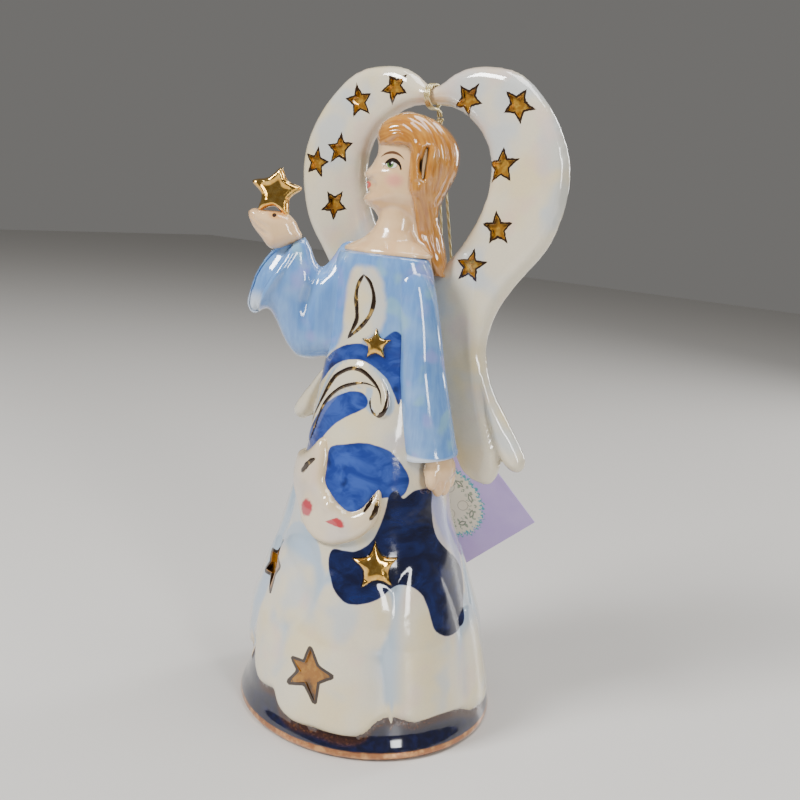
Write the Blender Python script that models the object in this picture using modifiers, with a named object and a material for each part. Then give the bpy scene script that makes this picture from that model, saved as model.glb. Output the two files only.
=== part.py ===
"""Porcelain angel bell, the size of a mantelpiece ornament.

The skirt of the figure is the bell.  A clapper hangs from a staple in the
crown, and a price-tag style card hangs on a metallic cord behind the wings.

Frame: metres, +Z up, the origin at the centre of the rim on the table, the
angel's front along -Y and its left hand towards +X.
"""
import math

import bmesh
import bpy
from mathutils import Matrix, Vector

MM = 0.001
GAP = 0.3 * MM                       # clearance between pieces that are luted or resting

# Driving dimensions of the bell
RIM_RADIUS = 35.0 * MM
WALL = 3.0 * MM
CAVITY_TOP = 104.0 * MM
BODY_TOP = 123.3 * MM
LEAN_X = -1.5 * MM                   # where the section's centre is at LEAN_HEIGHT
LEAN_Y = -7.0 * MM
LEAN_HEIGHT = 118.0 * MM
BODY_STEPS = 64
# Height, half width and half depth of the skirt and torso, in millimetres
BODY_ROWS = [
    (0.0, 35.0, 35.0), (2.4, 34.7, 34.7), (6.0, 33.0, 33.0), (15.0, 31.0, 31.0),
    (28.0, 28.4, 28.4), (40.0, 25.0, 25.0), (50.0, 22.6, 22.6), (60.0, 20.6, 20.4),
    (72.0, 18.5, 17.6), (84.0, 16.6, 14.2), (95.0, 15.2, 11.2), (106.0, 14.8, 9.6),
    (116.0, 14.6, 8.8), (120.0, 13.8, 8.4), (123.3, 12.2, 7.6),
]

# The plane of the raised arm and of the face: its direction seen from above
ARM_BEARING = math.radians(32.0)

# Wings
WING_THICKNESS = 6.0 * MM
WING_ROUNDING = 1.8 * MM
WING_Y = 7.0 * MM
CLEFT_HEIGHT = 162.8 * MM

# Clapper
WIRE_RADIUS = 0.6 * MM
CLAPPER_X = -0.8 * MM
CLAPPER_Y = -2.5 * MM
STAPLE_BAR_Z = 96.0 * MM
LINK_BAR_Z = 90.0 * MM
STAPLE_HALF_WIDTH = 2.6 * MM
LINK_HALF_WIDTH = 2.0 * MM
EYE_RADIUS = 2.2 * MM
BALL_RADIUS = 7.5 * MM
BALL_Z = 23.0 * MM
BUTTON_RADIUS = 1.7 * MM

# Cord and card
CORD_RADIUS = 0.35 * MM
CARD_WIDTH = 34.0 * MM
CARD_LENGTH = 38.0 * MM
CARD_THICKNESS = 0.5 * MM
CARD_HOLE = Vector((7.0, 25.0, 72.5)) * MM
CARD_BEARING = math.radians(22.0)     # seen from above
CARD_LEAN = math.radians(6.0)         # its foot stands out, along the skirt
CARD_HOLE_RADIUS = 1.6 * MM
CARD_HOLE_INSET = 3.4 * MM
KNOT = Vector((0.4, 10.6, 157.2)) * MM
KNOT_RADIUS = 1.1 * MM

PORCELAIN = (0.90, 0.87, 0.80)
ROBE_BLUE = (0.42, 0.58, 0.82)
SKIN = (0.93, 0.76, 0.64)
HAIR = (0.72, 0.42, 0.16)
GOLD = (0.83, 0.58, 0.20)
BRASS = (0.72, 0.56, 0.28)
LAVENDER = (0.62, 0.54, 0.74)


# ---------------------------------------------------------------- scene helpers

def clear_scene():
    for existing in list(bpy.data.objects):
        bpy.data.objects.remove(existing, do_unlink=True)


def make_collection(name):
    collection = bpy.data.collections.new(name)
    bpy.context.scene.collection.children.link(collection)
    return collection


def make_material(name, colour, roughness, metallic):
    material = bpy.data.materials.new(name)
    material.use_nodes = True
    shader = material.node_tree.nodes["Principled BSDF"]
    shader.inputs["Base Color"].default_value = (*colour, 1.0)
    shader.inputs["Roughness"].default_value = roughness
    shader.inputs["Metallic"].default_value = metallic
    material.diffuse_color = (*colour, 1.0)
    return material


def add_object(name, data, collection, colour=PORCELAIN, roughness=0.12, metallic=0.0):
    piece = bpy.data.objects.new(name, data)
    collection.objects.link(piece)
    if not piece.data.materials:
        piece.data.materials.append(make_material(name + "_finish", colour, roughness, metallic))
    return piece


def as_guide(piece):
    piece.hide_render = True
    piece.display_type = 'WIRE'
    return piece


def to_mesh(piece, weld=0.00001):
    """Replace an object by the welded mesh that its modifiers or curve settings give."""
    bpy.context.view_layer.update()
    evaluated = piece.evaluated_get(bpy.context.evaluated_depsgraph_get())
    mesh = bpy.data.meshes.new_from_object(evaluated)
    body = bmesh.new()
    body.from_mesh(mesh)
    bmesh.ops.remove_doubles(body, verts=body.verts, dist=weld)
    bmesh.ops.recalc_face_normals(body, faces=body.faces)
    body.to_mesh(mesh)
    body.free()
    solid = bpy.data.objects.new(piece.name, mesh)
    solid.matrix_world = piece.matrix_world
    for collection in piece.users_collection:
        collection.objects.link(solid)
    name = piece.name
    bpy.data.objects.remove(piece, do_unlink=True)
    solid.name = name
    return solid


def smooth(piece, angle=40.0):
    piece.data.shade_smooth()
    piece.data.set_sharp_from_angle(angle=math.radians(angle))


def boolean(piece, operation, other):
    modifier = piece.modifiers.new(operation.title() + "_" + other.name, 'BOOLEAN')
    modifier.operation = operation
    modifier.solver = 'EXACT'
    modifier.object = other


def move_vertices(piece, rule):
    for vertex in piece.data.vertices:
        vertex.co = rule(vertex.co)


# ---------------------------------------------------------------- the body's surface

def smooth_step(value):
    value = min(max(value, 0.0), 1.0)
    return value * value * (3.0 - 2.0 * value)


def body_section(height):
    """Half width and half depth of the skirt and torso at a height."""
    z = height / MM
    if z >= BODY_ROWS[-1][0]:
        return BODY_ROWS[-1][1] * MM, BODY_ROWS[-1][2] * MM
    for low, high in zip(BODY_ROWS, BODY_ROWS[1:]):
        if z <= high[0]:
            share = max(z - low[0], 0.0) / (high[0] - low[0])
            width = low[1] + share * (high[1] - low[1])
            depth = low[2] + share * (high[2] - low[2])
            return width * MM, depth * MM
    return 0.0, 0.0


def body_centre(height):
    share = height / LEAN_HEIGHT
    return Vector((LEAN_X * share, LEAN_Y * share, height))


def press(point):
    """Take a turned point to the flattened, leaning section of the figure."""
    width, depth = body_section(point.z)
    centre = body_centre(point.z)
    return Vector((centre.x + point.x, centre.y + point.y * depth / width, point.z))


def on_body(bearing, height, lift):
    """A point at a lift off the body, at a bearing from the front towards its left."""
    width, depth = body_section(height)
    centre = body_centre(height)
    x = (width + lift) * math.sin(bearing)
    y = -(depth + lift) * math.cos(bearing)
    return centre + Vector((x, y, 0.0))


def turned(name, profile, collection, steps, **finish):
    """A profile of (radius, height) pairs turned round Z, listed top to bottom outside."""
    mesh = bpy.data.meshes.new(name)
    edges = [(i, i + 1) for i in range(len(profile) - 1)]
    mesh.from_pydata([(radius, 0.0, height) for radius, height in profile], edges, [])
    piece = add_object(name, mesh, collection, **finish)
    screw = piece.modifiers.new("Turn", 'SCREW')
    screw.steps = steps
    screw.render_steps = steps
    screw.use_merge_vertices = True
    screw.merge_threshold = 0.00001
    screw.use_smooth_shade = True
    return piece


def outer_profile(extra=0.0):
    rows = [(body_section(z * MM)[0] + extra, z * MM) for z, _, _ in reversed(BODY_ROWS)]
    return [(0.0, rows[0][1] + extra)] + [(rows[0][0] - 2.0 * MM, rows[0][1] + extra)] + rows


def make_bell_body(collection):
    outer = [(0.0, BODY_TOP)] + [(r, z) for r, z in outer_profile()[2:]]
    outer[-1] = (RIM_RADIUS - 0.6 * MM, 0.0)
    outer.insert(-1, (RIM_RADIUS, 0.7 * MM))
    inner = [(RIM_RADIUS - WALL, 0.0)]
    for z, _, _ in BODY_ROWS[2:-4]:
        inner.append((body_section(z * MM)[0] - WALL, z * MM))
    shoulder = inner[-1][0]
    dome = CAVITY_TOP - inner[-1][1]
    for angle in (35.0, 65.0, 90.0):
        turn = math.radians(angle)
        inner.append((shoulder * math.cos(turn), CAVITY_TOP - dome * (1.0 - math.sin(turn))))
    inner[-1] = (0.0, CAVITY_TOP)
    body = to_mesh(turned("bell_body", outer + inner, collection, BODY_STEPS))
    move_vertices(body, press)
    smooth(body)
    return body


def make_body_guide(collection, clearance):
    guide = to_mesh(turned("body_clearance", outer_profile(clearance) + [(0.0, -MM)],
                           collection, BODY_STEPS))
    move_vertices(guide, press)
    return as_guide(guide)


# ---------------------------------------------------------------- flat outlines

def plate(name, points, thickness, rounding, collection, sharp=(), resolution=3, rings=1,
          **finish):
    """A flat outline of (across, up) pairs in millimetres, with rounded edges.

    Points whose numbers are in sharp are corners; the rest are joined smoothly.
    """
    curve = bpy.data.curves.new(name, 'CURVE')
    curve.dimensions = '2D'
    curve.fill_mode = 'BOTH'
    curve.resolution_u = resolution
    curve.extrude = thickness / 2 - rounding
    curve.bevel_depth = rounding
    curve.bevel_resolution = rings
    curve.offset = -rounding
    spline = curve.splines.new('BEZIER')
    spline.bezier_points.add(len(points) - 1)
    for number, (node, (across, up)) in enumerate(zip(spline.bezier_points, points)):
        node.co = (across * MM, up * MM, 0.0)
        kind = 'VECTOR' if number in sharp else 'AUTO'
        node.handle_left_type = kind
        node.handle_right_type = kind
    spline.use_cyclic_u = True
    piece = add_object(name, curve, collection, **finish)
    return to_mesh(piece)


def stand_up(piece, bearing, origin):
    """Stand a flat piece up: its first axis along the bearing, its second along Z."""
    across = Vector((math.cos(bearing), math.sin(bearing), 0.0))
    up = Vector((0.0, 0.0, 1.0))
    face = across.cross(up)
    basis = Matrix((across, up, face)).transposed()
    move_vertices(piece, lambda point: origin + basis @ point)


# ---------------------------------------------------------------- wings

# Outline of the left wing, from the cleft over the lobe to the feather tips and back up
WING_OUTLINE = [
    (0.15, 165.1), (1.8, 165.5), (5.4, 168.2), (10.0, 169.9), (16.0, 170.4), (24.5, 168.3),
    (32.6, 161.0), (37.8, 152.5), (39.8, 144.4), (38.8, 136.0), (35.8, 127.6), (29.0, 118.6), (24.2, 110.3),
    (22.6, 101.5), (25.0, 92.5), (30.2, 85.0), (35.4, 78.0), (37.4, 74.2), (36.2, 71.5),
    (33.4, 71.4), (30.6, 73.6), (29.9, 69.2), (28.2, 66.4), (25.2, 66.0), (20.0, 68.4),
    (15.2, 76.0), (10.4, 84.0), (5.6, 93.0), (2.4, 102.0), (1.6, 111.0), (3.2, 116.5),
    (7.5, 120.4), (12.6, 126.6), (16.4, 133.4), (18.6, 140.4), (18.6, 147.0), (16.4, 152.6),
    (11.4, 157.6), (5.6, 160.3), (0.15, 160.6),
]
WING_CORNERS = (0, 20, 39)


def make_wing(name, side, collection, guide):
    outline = [(side * across, up) for across, up in WING_OUTLINE]
    wing = plate(name, outline, WING_THICKNESS, WING_ROUNDING, collection,
                 sharp=WING_CORNERS, resolution=2)
    stand_up(wing, 0.0, Vector((0.0, WING_Y, 0.0)))
    # The two wings meet on a flat face at the cleft
    square_cleft(wing, side)
    boolean(wing, 'DIFFERENCE', guide)
    smooth(wing)
    return wing


def square_cleft(wing, side):
    for vertex in wing.data.vertices:
        if abs(vertex.co.x) < 2.4 * MM and vertex.co.z > 155.0 * MM:
            vertex.co.x = side * max(side * vertex.co.x - 1.2 * MM, GAP / 2)


# ---------------------------------------------------------------- head

def ellipsoid(name, centre, half_sizes, collection, bearing=0.0, rings=12, **finish):
    mesh = bpy.data.meshes.new(name)
    ball = bmesh.new()
    bmesh.ops.create_uvsphere(ball, u_segments=2 * rings, v_segments=rings, radius=1.0)
    turn = Matrix.Rotation(bearing, 4, 'Z') @ Matrix.Diagonal((*half_sizes, 1.0))
    bmesh.ops.transform(ball, matrix=Matrix.Translation(centre) @ turn, verts=ball.verts)
    ball.to_mesh(mesh)
    ball.free()
    return add_object(name, mesh, collection, **finish)


def make_head(collection, guides, guide):
    """Bare shoulders, neck, face and hair, cast in one."""
    base = BODY_TOP + GAP
    profile = [(0.0, 140.0 * MM), (5.0 * MM, 140.0 * MM), (5.0 * MM, 132.0 * MM),
               (5.8 * MM, 129.0 * MM), (8.4 * MM, 126.6 * MM), (11.9 * MM, 124.6 * MM),
               (12.1 * MM, base), (0.0, base)]
    neck_lean = Vector((-1.2, -5.6, 0.0)) * MM
    head = to_mesh(turned("head", profile, collection, 32, colour=SKIN, roughness=0.15))

    def settle(point):
        flat = 0.62 + 0.38 * smooth_step((point.z / MM - 125.0) / 6.0)
        ease = smooth_step((point.z / MM - 124.0) / 12.0)
        lean = neck_lean * (1.0 - ease) + Vector((-0.4, -3.6, 0.0)) * MM * ease
        return Vector((point.x + lean.x, point.y * flat + lean.y, point.z))

    move_vertices(head, settle)
    lumps = [
        ("skull_form", (1.0, -1.8, 147.4), (10.6, 9.0, 10.6)),
        ("face_form", (-3.6, -4.6, 143.2), (7.4, 6.8, 9.4)),
        ("hair_fall_form", (6.2, -1.2, 131.0), (4.6, 3.6, 11.6)),
    ]
    for name, centre, half_sizes in lumps:
        form = ellipsoid(name, Vector(centre) * MM, Vector(half_sizes) * MM, guides,
                         bearing=ARM_BEARING, rings=10)
        as_guide(form)
        boolean(head, 'UNION', form)
    boolean(head, 'DIFFERENCE', guide)
    smooth(head)
    return head


# ---------------------------------------------------------------- arms

# Outlines in the plane of the raised arm: distance towards the angel's left, and height
RAISED_SLEEVE = [
    (-25.6, 125.2), (-24.0, 122.4), (-22.4, 119.2), (-20.8, 117.4), (-18.4, 119.4), (-14.4, 122.6),
    (-8.0, 121.0), (-8.0, 98.0), (-14.0, 96.2), (-18.2, 95.2), (-21.4, 94.2), (-24.6, 93.9),
    (-27.8, 95.4), (-30.4, 98.4), (-32.4, 101.8), (-34.6, 105.2), (-37.6, 104.2), (-39.4, 105.6),
    (-39.4, 108.8), (-38.0, 112.8), (-36.2, 117.4), (-33.6, 121.6),
]
RAISED_HAND = [
    (-33.3, 122.5), (-25.9, 125.9), (-27.2, 128.4), (-29.4, 129.4), (-33.0, 129.2), (-37.0, 129.8),
    (-40.6, 130.2), (-40.8, 128.4), (-38.2, 125.4), (-35.0, 123.6),
]
ARM_OFFSET = 0.5 * MM                # how far the arm's plane stands in front of the axis


def arm_origin():
    return Vector((math.sin(ARM_BEARING), -math.cos(ARM_BEARING), 0.0)) * ARM_OFFSET


def make_raised_arm(collection, guide):
    sleeve = plate("raised_sleeve", RAISED_SLEEVE, 10.0 * MM, 1.0 * MM, collection,
                   sharp=(0, 21), colour=ROBE_BLUE)
    stand_up(sleeve, ARM_BEARING, arm_origin())
    boolean(sleeve, 'DIFFERENCE', guide)
    smooth(sleeve)
    hand = plate("raised_hand", RAISED_HAND, 7.0 * MM, 1.8 * MM, collection,
                 sharp=(0, 1), colour=SKIN)
    stand_up(hand, ARM_BEARING, arm_origin())
    smooth(hand)


def star_outline(outer, inner, turn=0.0):
    """Ten (across, up) pairs in millimetres, the first tip pointing up."""
    points = []
    for corner in range(10):
        radius = inner if corner % 2 else outer
        angle = math.radians(90.0 + 36.0 * corner) + turn
        points.append((radius * math.cos(angle), radius * math.sin(angle)))
    return points


# The star in the raised hand, in millimetres and in the plane of the raised arm
HELD_STAR_TIP, HELD_STAR_NOTCH = 7.0, 3.5
HELD_STAR_TILT = math.radians(-8.0)
HELD_STAR_CENTRE = (-34.2, 136.0)


def make_held_star(collection):
    outline = star_outline(HELD_STAR_TIP, HELD_STAR_NOTCH, HELD_STAR_TILT)
    star = plate("held_star", outline, 4.4 * MM, 1.2 * MM, collection, sharp=(1, 3, 5, 7, 9),
                 resolution=2, colour=GOLD, roughness=0.12, metallic=1.0)
    centre = Vector(HELD_STAR_CENTRE) * MM
    across = Vector((math.cos(ARM_BEARING), math.sin(ARM_BEARING), 0.0))
    stand_up(star, ARM_BEARING, arm_origin() + across * centre.x + Vector((0.0, 0.0, centre.y)))
    smooth(star)


# The hanging sleeve's centre line: height, radius and lift off the body in millimetres,
# and bearing in degrees
HANGING_SLEEVE = [
    (119.0, 3.6, -4.4, 73.0), (113.0, 4.8, -2.4, 74.0), (104.0, 5.3, -0.8, 76.0),
    (94.0, 5.8, 0.0, 78.0), (84.0, 6.4, 0.5, 80.0), (74.4, 7.0, 0.6, 82.0),
]
HAND_BEARING = math.radians(82.0)


def tube_points(curve, points, radii):
    spline = curve.splines.new('POLY')
    spline.points.add(len(points) - 1)
    for node, point, radius in zip(spline.points, points, radii):
        node.co = (*point, 1.0)
        node.radius = radius
    return spline


def tube(name, points, radius, collection, radii=None, sides=2, closed=False, **finish):
    curve = bpy.data.curves.new(name, 'CURVE')
    curve.dimensions = '3D'
    curve.bevel_depth = radius
    curve.bevel_resolution = sides
    curve.use_fill_caps = True
    spline = tube_points(curve, points, radii or [1.0] * len(points))
    spline.use_cyclic_u = closed
    return add_object(name, curve, collection, **finish)


def make_hanging_arm(collection, guide):
    line = [on_body(math.radians(bearing), z * MM, lift * MM)
            for z, _, lift, bearing in HANGING_SLEEVE]
    radii = [radius for _, radius, _, _ in HANGING_SLEEVE]
    sleeve = to_mesh(tube("hanging_sleeve", line, MM, collection, radii=radii, sides=6,
                          colour=ROBE_BLUE))
    boolean(sleeve, 'DIFFERENCE', guide)
    smooth(sleeve, 60.0)
    centre = on_body(HAND_BEARING, 69.0 * MM, 2.6 * MM)
    hand = ellipsoid("hanging_hand", centre, Vector((5.6, 3.6, 4.4)) * MM, collection,
                     bearing=HAND_BEARING, rings=10, colour=SKIN)
    boolean(hand, 'DIFFERENCE', guide)
    smooth(hand)


# ---------------------------------------------------------------- relief on the skirt

SPRIG_GRID = 3.4 * MM


def wrap_on_body(piece, bearing, height, base):
    """Bend a flat piece round the body, its middle at a bearing and a height.

    The piece lies flat at +Z up; the rows and columns cut into it let it bend.
    """
    body = bmesh.new()
    body.from_mesh(piece.data)
    low = Vector([min(v.co[axis] for v in body.verts) for axis in range(3)])
    high = Vector([max(v.co[axis] for v in body.verts) for axis in range(3)])
    for axis in (0, 1):
        normal = Vector((1.0, 0.0, 0.0)) if axis == 0 else Vector((0.0, 1.0, 0.0))
        cuts = int((high[axis] - low[axis]) / SPRIG_GRID)
        for cut in range(1, cuts + 1):
            place = normal * (low[axis] + cut * (high[axis] - low[axis]) / (cuts + 1))
            parts = body.verts[:] + body.edges[:] + body.faces[:]
            bmesh.ops.bisect_plane(body, geom=parts, plane_co=place, plane_no=normal, dist=0.00002)
    bmesh.ops.remove_doubles(body, verts=body.verts, dist=0.00003)
    bmesh.ops.triangulate(body, faces=body.faces)
    radius = body_section(height)[0]
    for vertex in body.verts:
        lift = base + vertex.co.z - low.z
        vertex.co = on_body(bearing + vertex.co.x / radius, height + vertex.co.y, lift)
    body.to_mesh(piece.data)
    body.free()
    smooth(piece)


MOON_DISC = 15.4                     # radius of the moon's outer edge, in millimetres
MOON_BITE = 10.8                     # radius of the bite that makes it a crescent
BITE_OFFSET = (8.2, 6.1)
MOON_BEARING = math.radians(-7.8)
MOON_HEIGHT = 66.5 * MM


OUTER_STEPS, BITE_STEPS = 16, 12
SPRIG_LIFT = 0.35 * MM
# Raised stars: name, reach in millimetres, bearing in degrees and height in millimetres
RAISED_STARS = [("chest_star", 4.0, 22.0, 101.4), ("skirt_star", 6.4, 36.8, 47.9)]


def crescent_outline():
    """The moon's outer arc, then the arc of the bite back to the first horn."""
    distance = math.hypot(*BITE_OFFSET)
    axis = math.atan2(BITE_OFFSET[1], BITE_OFFSET[0])
    along = (distance ** 2 + MOON_DISC ** 2 - MOON_BITE ** 2) / (2.0 * distance)
    half = math.acos(along / MOON_DISC)
    bite_half = math.atan2(MOON_DISC * math.sin(half), along - distance)
    outer_sweep = 2.0 * math.pi - 2.0 * half
    inner_sweep = 2.0 * math.pi - 2.0 * bite_half
    outer = [axis + half + outer_sweep * step / OUTER_STEPS for step in range(OUTER_STEPS + 1)]
    inner = [axis - bite_half - inner_sweep * step / BITE_STEPS for step in range(1, BITE_STEPS)]
    points = [(MOON_DISC * math.cos(a), MOON_DISC * math.sin(a)) for a in outer]
    points += [(BITE_OFFSET[0] + MOON_BITE * math.cos(a), BITE_OFFSET[1] + MOON_BITE * math.sin(a))
               for a in inner]
    return points


def make_sprigs(collection):
    moon = plate("moon", crescent_outline(), 2.4 * MM, 0.5 * MM, collection,
                 sharp=(0, OUTER_STEPS), resolution=1, rings=0)
    wrap_on_body(moon, MOON_BEARING, MOON_HEIGHT, SPRIG_LIFT)
    for name, size, bearing, height in RAISED_STARS:
        star = plate(name, star_outline(size, size / 2.0), 1.6 * MM, 0.4 * MM, collection,
                     sharp=range(10), resolution=1, rings=0, colour=GOLD, roughness=0.12,
                     metallic=1.0)
        wrap_on_body(star, math.radians(bearing), height * MM, SPRIG_LIFT)


# ---------------------------------------------------------------- clapper

def oval(half_width, low, high, across, centre, turns=8):
    """Points of an upright oval ring, two half circles joined by straight sides."""
    points = []
    for middle, start in ((high - half_width, 0.0), (low + half_width, math.pi)):
        for step in range(turns + 1):
            angle = start + math.pi * step / turns
            reach = half_width * math.cos(angle)
            up = Vector((0.0, 0.0, middle + half_width * math.sin(angle)))
            points.append(centre + across * reach + up)
    return points


def make_clapper(collection, guides):
    centre = Vector((CLAPPER_X, CLAPPER_Y, 0.0))
    along_x = Vector((1.0, 0.0, 0.0))
    along_y = Vector((0.0, 1.0, 0.0))
    hook = 2.0 * WIRE_RADIUS + GAP

    # The staple: a wire U whose legs are set in the crown
    leg_top = CAVITY_TOP - 3.0 * MM
    corner = 1.0 * MM
    half = STAPLE_HALF_WIDTH
    legs = [(-half, leg_top), (-half, STAPLE_BAR_Z + corner)]
    for side, start in ((-1.0, math.pi), (1.0, 1.5 * math.pi)):
        for step in range(1, 4):
            angle = start + 0.5 * math.pi * step / 4
            legs.append((side * (half - corner) + corner * math.cos(angle),
                         STAPLE_BAR_Z + corner + corner * math.sin(angle)))
    legs += [(half, STAPLE_BAR_Z + corner), (half, leg_top)]
    points = [centre + along_x * across + Vector((0.0, 0.0, up)) for across, up in legs]
    tube("clapper_staple", points, WIRE_RADIUS, collection,
         colour=BRASS, roughness=0.3, metallic=1.0)

    # The link hangs on the staple's bar, and the rod's eye hangs on the link
    ring = oval(LINK_HALF_WIDTH, LINK_BAR_Z, STAPLE_BAR_Z + hook, along_y, centre)
    link = tube("clapper_link", ring, WIRE_RADIUS, collection, closed=True,
                colour=BRASS, roughness=0.3, metallic=1.0)
    set_origin(link, centre + Vector((0.0, 0.0, STAPLE_BAR_Z)))

    eye_low = LINK_BAR_Z + hook - 2.0 * EYE_RADIUS
    button_top = BALL_Z - BALL_RADIUS - GAP
    button_low = button_top - 1.2 * MM
    profile = [(0.0, eye_low), (WIRE_RADIUS, eye_low), (WIRE_RADIUS, button_top),
               (BUTTON_RADIUS, button_top - 0.3 * MM), (BUTTON_RADIUS, button_low + 0.3 * MM),
               (BUTTON_RADIUS - 0.4 * MM, button_low), (0.0, button_low)]
    rod = to_mesh(turned("clapper_rod", profile, collection, 12, colour=BRASS, roughness=0.3,
                         metallic=1.0))
    move_vertices(rod, lambda point: point + centre)
    eye_ring = oval(EYE_RADIUS, eye_low, LINK_BAR_Z + hook, along_x, centre)
    eye = as_guide(to_mesh(tube("rod_eye", eye_ring, WIRE_RADIUS, guides, closed=True)))
    boolean(rod, 'UNION', eye)
    smooth(rod)

    ball = ellipsoid("clapper_ball", centre + Vector((0.0, 0.0, BALL_Z)),
                     Vector((BALL_RADIUS, BALL_RADIUS, BALL_RADIUS)), collection, rings=11)
    bore = as_guide(to_mesh(tube("ball_bore", [centre, centre + Vector((0.0, 0.0, 2.0 * BALL_Z))],
                                 WIRE_RADIUS + GAP, guides)))
    boolean(ball, 'DIFFERENCE', bore)
    smooth(ball)
    for piece in (rod, ball):
        set_origin(piece, centre + Vector((0.0, 0.0, LINK_BAR_Z)))


def set_origin(piece, origin):
    """Put an object's origin on its joint without moving its shape."""
    shift = Matrix.Translation(-origin)
    piece.data.transform(shift)
    piece.location = origin


# ---------------------------------------------------------------- cord and card

CORD_STEP = 2.1 * MM
CORD_BEND = 1.55 * MM


def through(points, spacing):
    """Points at an even spacing on the smooth curve through a short list of points."""
    dense = []
    closed = [points[0]] + list(points) + [points[-1]]
    for a, b, c, d in zip(closed, closed[1:], closed[2:], closed[3:]):
        for step in range(24):
            t = step / 24
            dense.append(0.5 * ((2.0 * b) + (c - a) * t + (2.0 * a - 5.0 * b + 4.0 * c - d) * t * t
                                + (3.0 * b - a - 3.0 * c + d) * t ** 3))
    dense.append(points[-1])
    length = sum((q - p).length for p, q in zip(dense, dense[1:]))
    count = max(int(round(length / spacing)), 2)
    even = [dense[0]]
    run = 0.0
    for p, q in zip(dense, dense[1:]):
        piece = (q - p).length
        while piece > 0.0 and run + piece >= len(even) * length / count and len(even) < count:
            even.append(p.lerp(q, (len(even) * length / count - run) / piece))
        run += piece
    return even + [dense[-1]]


def card_axes():
    across = Vector((math.cos(CARD_BEARING), math.sin(CARD_BEARING), 0.0))
    level_face = across.cross(Vector((0.0, 0.0, 1.0)))
    up = Vector((0.0, 0.0, math.cos(CARD_LEAN))) + level_face * math.sin(CARD_LEAN)
    return across, up, across.cross(up)


def cord_route():
    """The hand-chosen points of the loop: down in front of the card, through its hole and up.

    Its lowest point lies just under the top of the hole, which hangs on it.
    """
    across, up, face = card_axes()
    start = KNOT - up * (KNOT_RADIUS + GAP + CORD_RADIUS)
    low = CARD_HOLE + up * (CARD_HOLE_RADIUS - GAP - CORD_RADIUS)
    middle = low + up * CORD_BEND
    along = (middle - start).normalized()

    def strand(side):
        reach = face * CORD_BEND * side
        return [start - across * 0.55 * MM * side,
                start.lerp(middle, 0.25) - across * 0.9 * MM * side + reach * 0.2,
                start.lerp(middle, 0.50) - across * 1.1 * MM * side + reach * 0.5,
                start.lerp(middle, 0.75) - across * 0.6 * MM * side + reach * 0.8,
                middle - along * 6.0 * MM + reach,
                middle - along * 1.5 * MM + reach]

    bend = []
    for angle in (20.0, 55.0, 90.0, 125.0, 160.0):
        turn = math.radians(angle)
        bend.append(middle + (face * math.cos(turn) - up * math.sin(turn)) * CORD_BEND)
    return strand(1.0) + bend + strand(-1.0)[::-1]


def make_cord_and_card(collection, guides):
    # Three turns round the cleft, as one collar
    collar = plate("cord_wrap", [(-4.0, -3.9), (4.0, -3.9), (4.0, 3.9), (-4.0, 3.9)], 2.4 * MM,
                   0.3 * MM, collection, sharp=range(4), colour=GOLD, roughness=0.35, metallic=1.0)
    hole = plate("wrap_hole", [(-3.3, -3.1), (3.3, -3.1), (3.3, 3.1), (-3.3, 3.1)], 6.0 * MM,
                 0.2 * MM, guides, sharp=range(4))
    for piece in (collar, hole):
        stand_up(piece, math.radians(90.0), Vector((0.0, WING_Y, CLEFT_HEIGHT)))
    as_guide(hole)
    boolean(collar, 'DIFFERENCE', hole)

    knot = ellipsoid("cord_knot", KNOT, Vector((KNOT_RADIUS, 0.9 * KNOT_RADIUS, KNOT_RADIUS)),
                     collection, rings=6, colour=GOLD, roughness=0.35, metallic=1.0)
    set_origin(knot, KNOT)
    loop = tube("cord_loop", through(cord_route(), CORD_STEP), CORD_RADIUS, collection,
                colour=GOLD, roughness=0.35, metallic=1.0)
    set_origin(loop, KNOT)

    # The card hangs by one corner, with its long edge turned off the vertical
    tilt = math.atan2(CARD_WIDTH - CARD_HOLE_INSET, CARD_LENGTH - CARD_HOLE_INSET)
    half_x = CARD_WIDTH / 2
    corners = [(-half_x, -CARD_LENGTH / 2), (half_x, -CARD_LENGTH / 2),
               (half_x, CARD_LENGTH / 2), (-half_x, CARD_LENGTH / 2)]
    corners = [(x / MM, y / MM) for x, y in corners]
    card = plate("hang_tag", corners, CARD_THICKNESS, 0.1 * MM, collection, sharp=range(4),
                 resolution=1, colour=LAVENDER, roughness=0.7)
    hole_place = Vector((half_x - CARD_HOLE_INSET, CARD_LENGTH / 2 - CARD_HOLE_INSET, 0.0))
    punch = as_guide(to_mesh(tube("tag_punch", [hole_place - Vector((0, 0, 2 * MM)),
                                                hole_place + Vector((0, 0, 2 * MM))],
                                  CARD_HOLE_RADIUS, guides, sides=4)))
    turn = Matrix.Rotation(tilt, 3, 'Z')
    hanging = Matrix(card_axes()).transposed()
    for piece in (card, punch):
        move_vertices(piece, lambda point: turn @ (point - hole_place))
        move_vertices(piece, lambda point: CARD_HOLE + hanging @ point)
    boolean(card, 'DIFFERENCE', punch)
    set_origin(card, CARD_HOLE)


# ---------------------------------------------------------------- assembly

def main():
    clear_scene()
    bell = make_collection("porcelain_angel_bell")
    guides = make_collection("guides")
    make_bell_body(bell)
    guide = make_body_guide(guides, 0.5 * MM)
    make_head(bell, guides, guide)
    make_wing("left_wing", 1.0, bell, guide)
    make_wing("right_wing", -1.0, bell, guide)
    make_raised_arm(bell, guide)
    make_held_star(bell)
    make_hanging_arm(bell, guide)
    make_sprigs(bell)
    make_clapper(bell, guides)
    make_cord_and_card(bell, guides)


main()
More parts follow.
